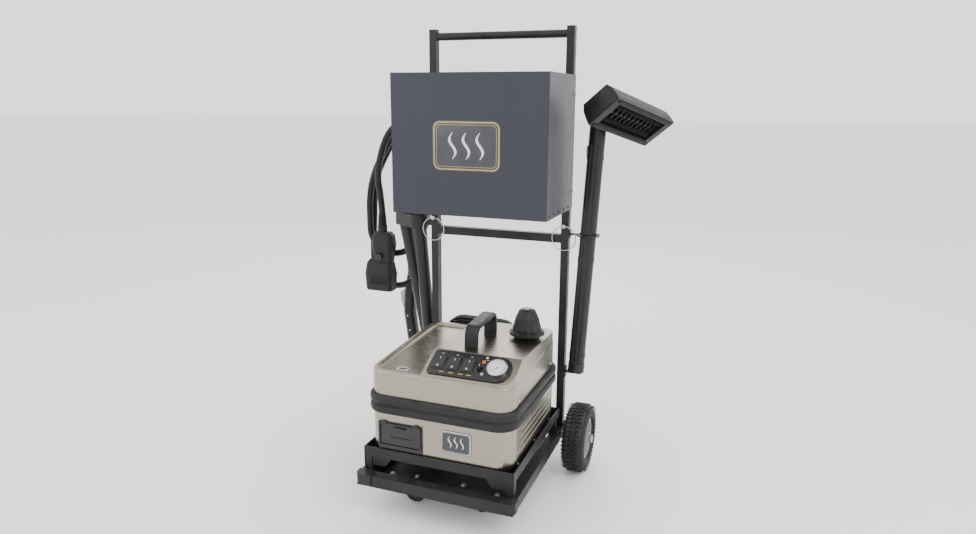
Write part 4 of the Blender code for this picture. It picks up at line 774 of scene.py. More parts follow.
def dressPanel(p):
    face = p["face"]
    # raised frame round each switch, with its on and off marks
    for k, x in enumerate(p["rockers"]):
        bezel = frameOf(roundedRect(0.0378, 0.0470, 0.0030), roundedRect(0.0308, 0.0408, 0.0008), face + 0.0002,
                        face + 0.0012)
        piece("rockerBezel%d" % (k + 1), laid(bezel, onPanel(x, p["rockerUp"])), "glossBlack", "cart",
              slot="black_plastic")
        lean = Matrix.Rotation(radians(5.7), 4, "X")
        bar = slab([(-0.0006, -0.0032), (0.0006, -0.0032), (0.0006, 0.0032), (-0.0006, 0.0032)], 0.0001, 0.0003)
        ring = frameOf(ringPoints(0.0030, 24), ringPoints(0.0021, 24), 0.0001, 0.0004)
        marks = merged(laid(bar, onPanel(x, p["rockerUp"] + 0.0120, 0.0078) @ lean),
                       laid(ring, onPanel(x, p["rockerUp"] - 0.0120, 0.0063)))
        piece("rockerMarks%d" % (k + 1), marks, "printWhite", "rocker_%d" % (k + 1), slot="grey_plastic")
    # plain coloured tags under the switches and over the lamps
    tags = []
    for x in (0.004, 0.030, 0.056, 0.078):
        tags.append(laid(slab(roundedRect(0.0120, 0.0022, 0.0007, 3), face, face + 0.0002), onPanel(x, p["labelUp"])))
    piece("panelTags", merged(*tags), "amberPrint", "cart", slot="black_plastic")
    thin = [laid(slab(roundedRect(0.0070, 0.0010, 0.0003, 2), face, face + 0.0002), onPanel(x, up))
            for x, up in ((-0.0124, 0.0735), (0.0272, 0.0735), (0.0668, 0.0735), (0.1110, 0.0695))]
    piece("panelLines", merged(*thin), "printWhite", "cart", slot="black_plastic")
    # two small lamps beside the red one, and its collar
    for name, (x, up) in (("amberLens", p["amber"]), ("greenLens", p["green"])):
        lens = turned([(0.0030, face + 0.0001), (0.0030, face + 0.0013), (0.0023, face + 0.0024),
                       (0, face + 0.0028)][::-1] + [(0, face + 0.0001)], 20)
        piece(name.replace("Lens", "Lamp"), laid(lens, onPanel(x, up)), name, "cart", slot="lamp")
    collars = [laid(frameOf(ringPoints(r + 0.0012, 32), ringPoints(r, 32), face, face + 0.0011), onPanel(x, up))
               for r, (x, up) in ((0.0032, p["amber"]), (0.0032, p["green"]), (0.0045, (0.1030, 0.0620)))]
    piece("lampCollars", merged(*collars), "chrome", "cart", slot="chrome")
    # scale round the knob and the pointer on it
    tick = slab([(0.0103, -0.0003), (0.0118, -0.0003), (0.0118, 0.0003), (0.0103, 0.0003)], face, face + 0.0002)
    scale = repeated("round", tick, {"Count": 11, "Start": radians(-45), "Sweep": radians(270 * 11 / 10)},
                     "printWhite")
    place("knobScale", carried(scale, onPanel(*p["knob"])), "printWhite", "cart", slot="black_plastic")
    hand = slab([(-0.0005, 0.0008), (0.0005, 0.0008), (0.0005, 0.0066), (-0.0005, 0.0066)], 0.0130, 0.0133)
    piece("knobPointer", laid(hand, onPanel(*p["knob"])), "printWhite", "selector", slot="black_plastic")


def dressGauge(p):
    # white dial with ticks, numbers and a red sector; a knurled bezel ring
    x, up = p["gauge"]
    home = onPanel(x, up)
    dial = frameOf(ringPoints(0.0216, 48), ringPoints(0.0026, 48), 0.0061, 0.0064)
    piece("gaugeDial", laid(dial, home), "dialWhite", "cart", slot="chrome")
    sweep, count = radians(-270), p["ticks"]
    tick = slab([(0.0178, -0.00022), (0.0203, -0.00022), (0.0203, 0.00022), (0.0178, 0.00022)], 0.0064, 0.0066)
    ticks = repeated("round", tick, {"Count": count, "Start": radians(225), "Sweep": sweep * count / (count - 1)},
                     "printBlack")
    place("gaugeTicks", carried(ticks, home), "printBlack", "cart", slot="black_plastic")
    marks = []
    for k in range(p["numbers"]):
        a = radians(225) + sweep * k / (p["numbers"] - 1)
        spot = Matrix.Translation((0.0142 * cos(a), 0.0142 * sin(a), 0.0065))
        marks.append(laid(numeral(str(2 * k), 0.0052), home @ spot))
    marks.append(laid(arcBand(0.0168, 0.0174, radians(225) + sweep, radians(225), 0.0064, 0.0066, 48), home))
    piece("gaugeNumbers", merged(*marks), "printBlack", "cart", slot="black_plastic")
    piece("gaugeRedBand", laid(arcBand(0.0186, 0.0200, radians(-45), radians(9), 0.0066, 0.0068), home), "printRed",
          "cart", slot="lamp")
    rib = slab([(0.0262, -0.0005), (0.0274, -0.0003), (0.0274, 0.0003), (0.0262, 0.0005)], 0.0050, 0.0098)
    knurl = repeated("round", rib, {"Count": 60, "Start": 0.0, "Sweep": 2 * pi}, "chrome")
    place("gaugeKnurl", carried(knurl, home), "chrome", "cart", slot="chrome")


# ---- badge: a plain plate with three rising waves of steam
badgeLook = {"bin": {"size": (0.190, 0.130), "place": (-0.002, 0.961)},
             "shell": {"size": (0.084, 0.060), "place": (0.052, 0.2364)}, "corner": 0.16, "thick": 0.0016}


def makeBadge(name, look, face, metal, ink, b):
    w, h = look["size"]
    x, z = look["place"]
    home = Matrix.Translation(at(x, face, z)) @ Matrix.Rotation(pi / 2, 4, "X")
    r, t = b["corner"] * h, b["thick"]
    plate = slab(roundedRect(w, h, r, 8), 0.00005, t * 0.55, 0.0003)
    piece(name + "Plate", laid(plate, home), ink, "cart", slot="bin" if name == "binBadge" else "stainless")
    border = frameOf(roundedRect(w * 0.965, h * 0.95, r * 0.9, 8), roundedRect(w * 0.925, h * 0.893, r * 0.75, 8),
                     t * 0.5, t * 0.9)
    inner = frameOf(roundedRect(w * 0.88, h * 0.83, r * 0.6, 8), roundedRect(w * 0.868, h * 0.812, r * 0.58, 8),
                    t * 0.5, t * 0.8)
    piece(name + "Border", laid(merged(border, inner), home), metal, "cart", slot="chrome")
    waves = []
    for k in (-1, 0, 1):
        path = [(k * w * 0.20 + w * 0.045 * sin(2 * pi * s / 16), -h * 0.26 + h * 0.52 * s / 16) for s in range(17)]
        left = [(px - w * 0.022 * sin(pi * (s + 1.2) / 18.4), py) for s, (px, py) in enumerate(path)]
        right = [(px + w * 0.022 * sin(pi * (s + 1.2) / 18.4), py) for s, (px, py) in enumerate(path)]
        waves.append(slab(right + left[::-1], t * 0.5, t * 0.85))
    piece(name + "Waves", laid(merged(*waves), home), "printWhite", "cart", slot="grey_plastic")


# ---- tool bin
binLook = {"hem": 0.0030, "rivet": 0.0038}


def dressBin(b):
    lo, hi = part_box("tool_bin")
    x0, x1, y0, y1, z0, z1 = lo.x, hi.x, lo.y, hi.y, lo.z, hi.z
    r = b["hem"]
    # folded hem round the mouth and along its back edge
    hem = [(x0 + r, y1 - r, z1 - r), (x0 + r, y0 + r, z1 - r), (x1 - r, y0 + r, z1 - r), (x1 - r, y1 - r, z1 - r)]
    rear = frontY - 0.0012
    inner = midX + 0.1900
    parts = [sweptTube([hem[0], hem[1]], r * 0.86, 14), sweptTube([hem[1], hem[2]], r * 0.86, 14),
             sweptTube([hem[2], hem[3]], r * 0.86, 14),
             sweptTube([(2 * midX - inner, rear - 0.0022, z1 - r), (inner, rear - 0.0022, z1 - r)], r * 0.7, 12)]
    piece("binHem", merged(*parts), "binEnamel", "cart", slot="bin")
    # bolts through the sides into the posts, and rivets along the floor flange
    places = []
    for x, n in ((x0, -1), (x1, 1)):
        for z in (z0 + 0.050, z1 - 0.050):
            places.append(((x, frontY + 0.011, z), (n, 0, 0)))
    spots("binBolts", hexBolt(0.011, 0.0042, 0.0070), places, "zincPlate", "cart", "zinc")
    rivets = []
    for k in range(5):
        share = (k + 0.5) / 5
        rivets.append(((x0 + (x1 - x0) * share, y0 + 0.012, z0 - 0.00002), (0, 0, -1)))
        for x, n in ((x0, -1), (x1, 1)):
            rivets.append(((x, y0 + (frontY - y0) * share, z0 + 0.010), (n, 0, 0)))
    spots("binRivets", blindRivet(b["rivet"]), rivets, "binEnamel", "cart", "bin")
    makeBadge("binBadge", badgeLook["bin"], y0 - frontY, "printGold", "binEnamelDark", badgeLook)


# ---- cart frame details
cartLook = {"bead": 0.0016}


def weldBead(corners, r, seed):
    # lumpy weld run along a closed or open line of points
    pts = []
    for a, b in zip(corners, corners[1:]):
        a, b = Vector(a), Vector(b)
        count = max(2, int((b - a).length / 0.0022))
        pts += [a + (b - a) * k / count for k in range(count)]
    pts.append(Vector(corners[-1]))
    bump = [0.80 + 0.30 * abs(sin(k * 1.9 + seed)) for k in range(len(pts))]
    return sweptTube(pts, lambda t: r * bump[min(len(bump) - 1, int(t * (len(bump) - 1) + 0.5))], 7)


def dressCart(c):
    # weld runs where tubes meet, plugs in open ends, bolts on the deck and under it
    r, parts = c["bead"], []
    for node, s in (("post_left", -1), ("post_right", 1)):
        lo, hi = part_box(node)
        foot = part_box("base_rail_left" if s < 0 else "base_rail_right")
        z = foot[1].z + 0.0006
        parts.append(weldBead([(lo.x, lo.y, z), (hi.x, lo.y, z), (hi.x, hi.y, z), (lo.x, hi.y, z), (lo.x, lo.y, z)],
                              r, s))
        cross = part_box("mid_crossbar")
        x = hi.x + 0.0003 if s < 0 else lo.x - 0.0003
        parts.append(weldBead([(x, cross[0].y, cross[0].z), (x, cross[0].y, cross[1].z), (x, cross[1].y, cross[1].z),
                               (x, cross[1].y, cross[0].z), (x, cross[0].y, cross[0].z)], r * 0.9, s + 2))
        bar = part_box("handle_bar")
        cy, cz, br = (bar[0].y + bar[1].y) / 2, (bar[0].z + bar[1].z) / 2, (bar[1].z - bar[0].z) / 2
        ring = [(x, cy + br * cos(2 * pi * k / 24), cz + br * sin(2 * pi * k / 24)) for k in range(25)]
        parts.append(weldBead(ring, r * 0.8, s + 4))
    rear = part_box("base_rear_bar")
    for x in (rear[0].x, rear[1].x):
        parts.append(weldBead([(x, rear[0].y, rear[1].z), (x, rear[1].y, rear[1].z), (x, rear[1].y, rear[0].z)],
                              r, x))
    for node in ("base_rail_left", "base_rail_right"):
        lo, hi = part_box(node)
        parts.append(weldBead([(lo.x + 0.002, lo.y, hi.z), (hi.x - 0.002, lo.y, hi.z)], r, lo.x))
    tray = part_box("tray_frame")
    for x in (tray[0].x, tray[1].x):
        for y in (tray[0].y, tray[1].y):
            inside = 0.0006 if x < midX else -0.0006
            parts.append(weldBead([(x + inside, y, tray[0].z + 0.004), (x + inside, y, tray[1].z - 0.003)], r * 0.7,
                                  x + y))
    piece("weldRuns", merged(*parts), "powderCoat", "cart", 70, "frame")
    caps = []
    for node in ("base_rail_left", "base_rail_right"):
        lo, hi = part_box(node)
        size = hi.x - lo.x
        plug = slab(roundedRect(size - 0.0006, size - 0.0006, 0.003), 0.0002, 0.0028, 0.0009)
        home = Matrix.Translation(((lo.x + hi.x) / 2, hi.y, (lo.z + hi.z) / 2)) @ Matrix.Rotation(-pi / 2, 4, "X")
        caps.append(laid(plug, home))
    piece("tubePlugs", merged(*caps), "mouldedBlack", "cart", slot="black_plastic")
    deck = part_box("deck_plate")
    high = deck[1].z + 0.0002
    bolts = [((at(x, y, 0).x, at(x, y, 0).y, high), (0, 0, 1)) for x, y in
             ((-0.082, -0.386), (0.051, -0.385), (-0.150, -0.400), (0.150, -0.400), (-0.150, -0.070), (0.150, -0.070))]
    spots("deckBolts", hexBolt(0.012, 0.0055, 0.0080), bolts, "zincPlate", "cart", "zinc")
    under = []
    for s in (-1, 1):
        p = pivot("caster_turn_left" if s < 0 else "caster_turn_right")
        under += [((p.x + 0.028 * a, p.y + 0.024 * b, deck[0].z + 0.0080 - 0.0002), (0, 0, -1))
                  for a in (-1, 1) for b in (-1, 1)]
    spots("casterBolts", hexBolt(0.010, 0.0045, 0.0066), under, "zincPlate", "cart", "zinc")


# ---- wheels
wheelLook = {"carcass": 0.0966, "outer": 0.1010, "width": 0.065, "pitches": 48, "ribs": 6}


def treadBlock(r0, r1, y0, y1, arc, skew):
    # one tread block: r outwards along X, y along the axle, arc round it
    bm = bmesh.new()
    levels = []
    for r, shrink in ((r0, 0.0), (r1 - 0.0006, 0.0002), (r1, 0.0009)):
        ring = []
        for y, a in ((y0, -1), (y0, 0), (y0, 1), (y1, 1), (y1, 0), (y1, -1)):
            edge = shrink if y == y0 else -shrink
            angle = a * (arc / 2 - shrink / r) + skew * (y - y0) / (y1 - y0)
            ring.append(bm.verts.new((r * cos(angle), r * sin(angle), y + edge)))
        levels.append(ring)
    for a, b in zip(levels, levels[1:]):
        for k in range(6):
            m = (k + 1) % 6
            bm.faces.new((a[k], a[m], b[m], b[k]))
    bm.faces.new(levels[0][::-1])
    bm.faces.new(levels[-1])
    return bm


def makeWheels(w):
    half, r = w["width"] / 2, w["carcass"]
    pitch = 2 * pi / w["pitches"]
    for side, s in (("left", -1), ("right", 1)):
        centre = pivot("wheel_spin_" + side)
        home = lookAlong(centre, (s, 0, 0), (0, 0, 1))
        body = "wheel_" + side
        # carcass with two bead rings and a raised band on the sidewalls
        outline = [(0.0623, half - 0.008), (0.0660, half - 0.0015), (0.0700, half), (0.0745, half - 0.0008),
                   (0.0770, half + 0.0000), (0.0795, half - 0.0010), (0.0880, half - 0.0022), (0.0935, half - 0.0060),
                   (r, half - 0.0150), (r, 0.0105), (r - 0.0016, 0.0090), (r, 0.0075)]
        outline += [(a, -b) for a, b in reversed(outline)]
        tyre = laid(turned(outline, 72), home)
        shape = piece("tyreCarcass_" + side, tyre, "tyreRubber", body, 40, "tyre")
        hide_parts("tyre_" + side)
        rows = []
        for y0, y1, shift, skew in ((half - 0.0125, half - 0.0235, 0.0, 0.25),
                                    (half - 0.0250, 0.0015, 0.5, -0.35)):
            for sign in (1, -1):
                low, high = sorted((sign * y0, sign * y1))
                turn = Matrix.Rotation(pitch * (shift + (0.5 if sign < 0 else 0.0)), 4, "Z")
                rows.append(laid(treadBlock(r - 0.0008, w["outer"], low, high, pitch * 0.70,
                                            sign * skew * pitch * 0.8), turn))
        for sign in (1, -1):
            lug = treadBlock(0.0900, 0.0965, sign * (half - 0.0020) - 0.0009, sign * (half - 0.0020) + 0.0009,
                             pitch * 0.35, 0)
            rows.append(laid(lug, Matrix.Rotation(pitch * 0.25, 4, "Z")))
        tread = repeated("round", merged(*rows), {"Count": w["pitches"], "Start": 0.0, "Sweep": 2 * pi}, "tyreRubber")
        place("treadBlocks_" + side, carried(tread, home), "tyreRubber", body, 30, "tyre")
        # ribs and bolts on the wheel disc
        rib = bmesh.new()
        prof = [(0.0205, 0.0008), (0.0470, 0.0036), (0.0470, 0.0062), (0.0205, 0.0160)]
        sides = [[rib.verts.new((a, t, b)) for a, b in prof] for t in (-0.0018, 0.0018)]
        rib.faces.new(sides[0])
        rib.faces.new(sides[1][::-1])
        for k in range(4):
            m = (k + 1) % 4
            rib.faces.new((sides[0][k], sides[0][m], sides[1][m], sides[1][k]))
        ribs = repeated("round", rib, {"Count": w["ribs"], "Start": 0.0, "Sweep": 2 * pi}, "rimEnamel")
        place("wheelRibs_" + side, carried(ribs, home), "rimEnamel", body, 30, "rim")
        bolt = laid(hexBolt(0.008, 0.0045, 0.0058), Matrix.Translation((0.036, 0, 0.0026)))
        bolts = repeated("round", bolt, {"Count": w["ribs"], "Start": pi / w["ribs"], "Sweep": 2 * pi}, "zincPlate")
        place("wheelBolts_" + side, carried(bolts, home), "zincPlate", body, 30, "zinc")


# ---- shells of the cleaner
shellLook = {"beads": (0.206, 0.224, 0.242, 0.260), "beadY": (-0.385, -0.085), "beadR": 0.0016,
             "screw": 0.0036, "drain": (-0.116, -0.392)}


def dressShells(c):
    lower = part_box("lower_shell")
    # long pressed beads on both flanks
    parts = []
    y0, y1 = (frontY + y for y in c["beadY"])
    for x in (lower[0].x, lower[1].x):
        for k, z in enumerate(c["beads"]):
            ends = [(x, y0 + 0.012 * k, z), (x, y1, z)]
            bead = sweptTube([ends[0], (x, y0 + 0.012 * k + 0.004, z), (x, y1 - 0.004, z), ends[1]],
                             lambda t: c["beadR"] * (0.45 if t < 0.01 or t > 0.99 else 1.0), 10)
            parts.append(bead)
    piece("flankBeads", merged(*parts), "stainless", "cart", 60, "stainless")
    screws = []
    for x, n in ((lower[0].x, -1), (lower[1].x, 1)):
        for y in (-0.375, -0.235, -0.095):
            screws.append(((x, frontY + y, 0.176), (n, 0, 0)))
            screws.append(((x, frontY + y, 0.349), (n, 0, 0)))
    for x in (-0.150, 0.150):
        screws.append((tuple(at(x, -0.437, 0.1765)), (0, -1, 0)))
    spots("shellScrews", panScrew(c["screw"], 0.0017), screws, "zincPlate", "cart", "zinc")
    makeBadge("shellBadge", badgeLook["shell"], lower[0].y - frontY - 0.0001, "chrome", "binEnamelDark", badgeLook)


def dressTop(c):
    # drain oval in the well of the top, ribs on the handle, marks round the filler and a ring on its cap
    x, y = c["drain"]
    grommet = frameOf(roundedRect(0.036, 0.018, 0.0088, 8), roundedRect(0.027, 0.010, 0.0048, 8), -0.0004, 0.0018)
    plug = slab(roundedRect(0.0272, 0.0102, 0.0048, 8), -0.0004, 0.0006)
    home = Matrix.Translation(at(x, y, wellHeight(x, y))) @ Matrix.Rotation(radians(2.0), 4, "X")
    piece("wellGrommet", laid(grommet, home), "chrome", "cart", slot="chrome")
    piece("wellPlug", laid(plug, home), "mouldedBlack", "cart", slot="black_plastic")
    lo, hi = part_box("carry_handle")
    rib = slab(roundedRect(0.0250, 0.0022, 0.0010, 3), -0.0008, 0.0006, 0.0003)
    count, y0, y1 = 11, lo.y + 0.036, hi.y - 0.036
    slope = 0.006 / (hi.y - lo.y - 0.016)
    start = Vector(((lo.x + hi.x) / 2, y0, hi.z - (hi.y - 0.020 - y0) * slope - 0.0009))
    step = Vector((0, (y1 - y0) / (count - 1), (y1 - y0) / (count - 1) * slope))
    ribs = repeated("row", rib, {"Count": count, "Step": tuple(step)}, "mouldedBlack")
    place("handleRibs", carried(ribs, Matrix.Translation(start)), "mouldedBlack", "cart", 30, "black_plastic")
    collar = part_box("filler_collar")
    cx, cy = (collar[0].x + collar[1].x) / 2, (collar[0].y + collar[1].y) / 2
    mark = slab([(0.0428, -0.0022), (0.0462, 0.0), (0.0428, 0.0022)], -0.0024, -0.0012)
    marks = repeated("round", mark, {"Count": 9, "Start": 0.2, "Sweep": 2 * pi}, "printRed")
    place("fillerMarks", carried(marks, Matrix.Translation((cx, cy, collar[1].z))), "printRed", "cart", slot="lamp")
    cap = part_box("filler_cap")
    ring = frameOf(ringPoints(0.0128, 36), ringPoints(0.0112, 36), 0.0, 0.0007)
    dish = turned([(0, 0.0002), (0.0085, 0.0002), (0.0092, 0.0007), (0.0080, 0.0009), (0, 0.0010)], 32)
    piece("capTopRing", laid(merged(ring, dish), Matrix.Translation((cx, cy, cap[1].z - 0.0001))), "glossBlack",
          "cap", slot="black_plastic")


def wellHeight(x, y):
    # height of the top sheet under a place, read from the shell itself
    shell = frame["nodes"]["upper_shell"]
    p = at(x, y, 1)
    return shell.ray_cast(p, Vector((0, 0, -1)))[1].z


def dressSocket():
    # raised frame and pull on the flap, and knuckles on its hinge
    lo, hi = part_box("socket_flap")
    front, width, height = lo.y, hi.x - lo.x, hi.z - lo.z
    home = Matrix.Translation(((lo.x + hi.x) / 2, front, (lo.z + hi.z) / 2)) @ Matrix.Rotation(pi / 2, 4, "X")
    lip = frameOf(roundedRect(width - 0.006, height - 0.0135, 0.004),
                  roundedRect(width - 0.013, height - 0.0205, 0.002), -0.0002, 0.0009)
    lip = laid(lip, Matrix.Translation((0, 0.00275, 0)))
    pull = laid(slab(roundedRect(0.034, 0.0060, 0.0028), -0.0002, 0.0020, 0.0007),
                Matrix.Translation((0, height * 0.30, 0)))
    strip = laid(slab(roundedRect(0.060, 0.0012, 0.0005, 3), -0.0002, 0.0004), Matrix.Translation((0, -0.004, 0)))
    piece("flapLip", laid(merged(lip, pull, strip), home), "glossBlack", "flap", slot="black_plastic")
    knuckles = []
    p = pivot("flap_drop")
    for x in (lo.x + 0.010, (lo.x + hi.x) / 2, hi.x - 0.010):
        knuckles.append(aimed(turned([(0, -0.006), (0.0024, -0.006), (0.0027, -0.0055), (0.0027, 0.0055),
                                      (0.0024, 0.006), (0, 0.006)], 16), (x, p.y, p.z), (1, 0, 0)))
    piece("flapKnuckles", merged(*knuckles), "mouldedBlack", "flap", slot="black_plastic")


# ---- wand, floor tool and spare tubes
wandLook = {"collars": (0.05, 0.34, 0.63), "clip": 0.645}
toolLook = {"down": (0.5235, -0.4232, -0.7395), "drop": 0.049, "size": (0.273, 0.104, 0.058), "tufts": 40,
            "teeth": 17}


def ringCollar(r, width, lip=0.0016):
    # band of revolution about Z with eased edges, open in the middle
    h = width / 2
    return turned([(r - 0.0006, -h), (r + lip * 0.6, -h), (r + lip, -h + 0.0015), (r + lip, h - 0.0015),
                   (r + lip * 0.6, h), (r - 0.0006, h)], 40)


def dressWand(w):
    up = axisOf("wand_lift")
    foot = at(0.2472, 0.011, 0.2951)
    front = Vector((0, -1, 0))
    collars = [aimed(ringCollar(0.0228, 0.016, 0.0012), foot + up * d, up, front) for d in w["collars"]]
    piece("wandCollars", merged(*collars), "tubeBlack", "wand_set", slot="tube_plastic")
    # latch button in a raised oval near the top
    oval = slab(roundedRect(0.034, 0.015, 0.0070, 8), -0.0015, 0.0022, 0.0008)
    button = laid(slab(roundedRect(0.013, 0.0080, 0.0036, 8), 0.0, 0.0042, 0.0010), Matrix.Translation((0.004, 0, 0)))
    side = Vector((-0.90, -0.44, 0)).normalized()
    home = lookAlong(foot + up * w["clip"] + side * 0.0226, side, up)
    piece("wandLatch", laid(oval, home), "mouldedBlack", "wand_set", slot="black_plastic")
    piece("wandButton", laid(button, home), "greyPlastic", "wand_set", slot="grey_plastic")
    for which in "ab":
        axis = axisOf("spare_lift_" + which)
        lo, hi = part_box("spare_tube_" + which)
        top = Vector(((lo.x if axis.x < 0 else hi.x) + (0.0212 if axis.x < 0 else -0.0212), (lo.y + hi.y) / 2,
                      hi.z - 0.002))
        rings = [aimed(ringCollar(0.0206, 0.010, 0.0010), top - axis * d, axis) for d in (0.090, 0.40, 0.43)]
        body = "spare_" + which
        piece("spareCollars_" + which, merged(*rings), "tubeBlack", body, slot="tube_plastic")
        rim = ringCollar(0.0190, 0.0040, 0.0012)
        piece("spareMouth_" + which, aimed(rim, top - axis * 0.0035, axis), "mouldedBlack", body,
              slot="black_plastic")


def toolMatrix(t):
    # x along the tool, y across, z down towards the bristles, from the middle of the body
    long = axisOf("tool_tip")
    down = Vector(t["down"])
    down = (down - long * down.dot(long)).normalized()
    centre = pivot("tool_tip") + down * t["drop"]
    return Matrix.Translation(centre) @ Matrix((long, down.cross(long), down)).transposed().to_4x4()


def dressTool(t):
    home = toolMatrix(t)
    hl, hw, hh = (v / 2 for v in t["size"])
    # two rows of tufts in the recess
    tuft = bmesh.new()
    for k in range(6):
        a = 2 * pi * k / 6
        cx, cy = 0.0011 * cos(a), 0.0011 * sin(a)
        base = [tuft.verts.new((cx + 0.0005 * cos(b), cy + 0.0005 * sin(b), hh - 0.0215)) for b in (0, 2.1, 4.2)]
        tip = [tuft.verts.new((1.7 * cx + 0.00035 * cos(b), 1.7 * cy + 0.00035 * sin(b), hh - 0.0035 - 0.0011 * (k % 3)))
               for b in (0, 2.1, 4.2)]
        for i in range(3):
            m = (i + 1) % 3
            tuft.faces.new((base[i], base[m], tip[m], tip[i]))
        tuft.faces.new(base[::-1])
        tuft.faces.new(tip)
    length = 2 * hl - 0.052
    step = length / (t["tufts"] - 1)
    rows = []
    for y in (-0.026, -0.021, 0.021, 0.026):
        rows.append(laid(tuft.copy(), Matrix.Translation((-length / 2, y, 0))))
    tuft.free()
    bristles = repeated("row", merged(*rows), {"Count": t["tufts"], "Step": (step, 0.0, 0.0)}, "bristle")
    place("toolBristles", carried(bristles, home), "bristle", "floor_head", 60, "black_plastic")
    # cross bars and a steam bar between the rows
    bar = laid(block((-0.0012, -0.0175, hh - 0.0218), (0.0012, 0.0175, hh - 0.0090)),
               Matrix.Translation((-length / 2 + 0.010, 0, 0)))
    bars = repeated("row", bar, {"Count": 11, "Step": ((length - 0.020) / 10, 0.0, 0.0)}, "mouldedBlack")
    place("toolCrossBars", carried(bars, home), "mouldedBlack", "floor_head", 30, "black_plastic")
    spine = slab(roundedRect(length, 0.007, 0.003), hh - 0.0218, hh - 0.0130, 0.001)
    piece("toolSteamBar", laid(spine, home), "mouldedBlack", "floor_head", slot="black_plastic")
    # toothed rubber edge along both long sides
    tooth = block((-0.0030, hw - 0.0125, hh - 0.0016), (0.0030, hw - 0.0030, hh + 0.0022))
    mirror = block((-0.0030, -hw + 0.0030, hh - 0.0016), (0.0030, -hw + 0.0125, hh + 0.0022))
    pair = laid(merged(tooth, mirror), Matrix.Translation((-hl + 0.012, 0, 0)))
    teeth = repeated("row", pair, {"Count": t["teeth"] * 2, "Step": ((2 * hl - 0.024) / (t["teeth"] * 2 - 1), 0.0, 0.0)},
                     "beltRubber")
    place("toolTeeth", carried(teeth, home), "beltRubber", "floor_head", 30, "rubber")
    # clamp levers on the roof and end caps
    levers = []
    for x in (-hl + 0.036, hl - 0.044):
        lever = slab(roundedRect(0.018, 0.050, 0.004), 0, 0.0040, 0.0012)
        levers.append(laid(lever, Matrix.Translation((x, -0.006, -hh - 0.0062)) @ Matrix.Rotation(pi, 4, "X")))
    piece("toolClamps", laid(merged(*levers), home), "glossBlack", "floor_head", slot="black_plastic")
    ends = []
    for s in (-1, 1):
        face = [(-hw + 0.017, -hh + 0.006), (hw - 0.017, -hh + 0.006), (hw - 0.009, -0.008), (hw - 0.007, hh - 0.014),
                (hw - 0.008, hh - 0.007), (-hw + 0.008, hh - 0.007), (-hw + 0.007, hh - 0.014), (-hw + 0.009, -0.008)]
        plate = slab(face, 0, 0.0009, 0.0004)
        turn = Matrix(((0, 0, s, 0), (1, 0, 0, 0), (0, 1, 0, 0), (0, 0, 0, 1)))
        ends.append(laid(plate, Matrix.Translation((s * hl, 0, 0)) @ turn))
    piece("toolEndPlates", laid(merged(*ends), home), "mouldedBlack", "floor_head", slot="black_plastic")
    nuts = [aimed(hexBolt(0.008, 0.0035, 0.0056), (s * 0.0300, 0, -hh - 0.020), (s, 0, 0)) for s in (-1, 1)]
    piece("toolPivotNuts", laid(merged(*nuts), home), "zincPlate", "floor_head", slot="zinc")


# ---- hose ends, gun, casters, rack and rear
endLook = {"ribs": 9}


def dressHoseEnds(h, e):
    # ribbed cuffs where the hose enters the connector and the gun; grip ribs and a catch on the connector
    y = h["tracks"][0]
    plugX, plugTop = h["plug"]
    gunX, gunY, gunTop = h["gun"]
    cuffs = []
    for name, spot in (("hoseCuffPlug", (plugX, y, plugTop)), ("hoseCuffGun", (gunX, gunY, gunTop))):
        outline = [(0.0112, 0.0004), (0.0152, 0.0004)]
        for k in range(e["ribs"]):
            z0 = 0.0030 + k * 0.0042
            fat = 0.0150 - k * 0.00025
            outline += [(fat, z0), (fat, z0 + 0.0022), (fat - 0.0022, z0 + 0.0027), (fat - 0.0022, z0 + 0.0037)]
        top = outline[-1][1] + 0.003
        outline += [(0.0122, top), (0.0112, top)]
        cuffs.append(piece(name, laid(turned(outline, 32), Matrix.Translation(at(*spot))), "hoseRubber", "cart",
                           50, "rubber"))
    lo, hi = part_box("hose_plug")
    # grip ribs on the front of the block
    rib = slab(roundedRect(0.0030, 0.036, 0.0014, 3), -0.0006, 0.0012, 0.0004)
    ribs = repeated("row", rib, {"Count": 9, "Step": (0.0070, 0.0, 0.0)}, "mouldedBlack")
    home = Matrix.Translation((lo.x + 0.026, lo.y + 0.0008, lo.z + 0.040)) @ Matrix.Rotation(pi / 2, 4, "X")
    place("plugRibs", carried(ribs, home), "mouldedBlack", "cart", 30, "black_plastic")
    catch = slab(roundedRect(0.026, 0.018, 0.004), 0, 0.0040, 0.0014)
    piece("plugCatch", laid(catch, Matrix.Translation(((lo.x + hi.x) / 2 + 0.004, lo.y + 0.0030, lo.z + 0.118))
                            @ Matrix.Rotation(pi / 2, 4, "X")), "glossBlack", "cart", slot="black_plastic")
    return cuffs


def dressGun():
    p = pivot("trigger_squeeze")
    screws = []
    for dx, dz in ((0.012, 0.050), (0.001, -0.098), (0.009, -0.150)):
        for s in (-1, 1):
            screws.append(((p.x + dx, p.y + s * 0.0180, p.z + dz), (0, s, 0)))
    spots("gunScrews", panScrew(0.0030, 0.0014), screws, "zincPlate", "cart", "zinc")
    collar = aimed(ringCollar(0.0175, 0.007, 0.0020), (p.x + 0.020, p.y, p.z + 0.0735), (0, 0, 1))
    piece("gunCollar", collar, "mouldedBlack", "cart", slot="black_plastic")
    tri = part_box("gun_trigger")
    rib = slab(roundedRect(0.0094, 0.0016, 0.0007, 3), -0.0004, 0.0006, 0.0002)
    ribs = repeated("row", rib, {"Count": 8, "Step": (0.0, 0.0044, 0.0)}, "greyPlastic")
    turn = Matrix(((0, 0, -1, 0), (1, 0, 0, 0), (0, -1, 0, 0), (0, 0, 0, 1)))
    place("triggerRibs", carried(ribs, Matrix.Translation((tri[0].x + 0.0002, p.y, p.z - 0.018)) @ turn), "greyPlastic",
          "trigger", 30, "grey_plastic")


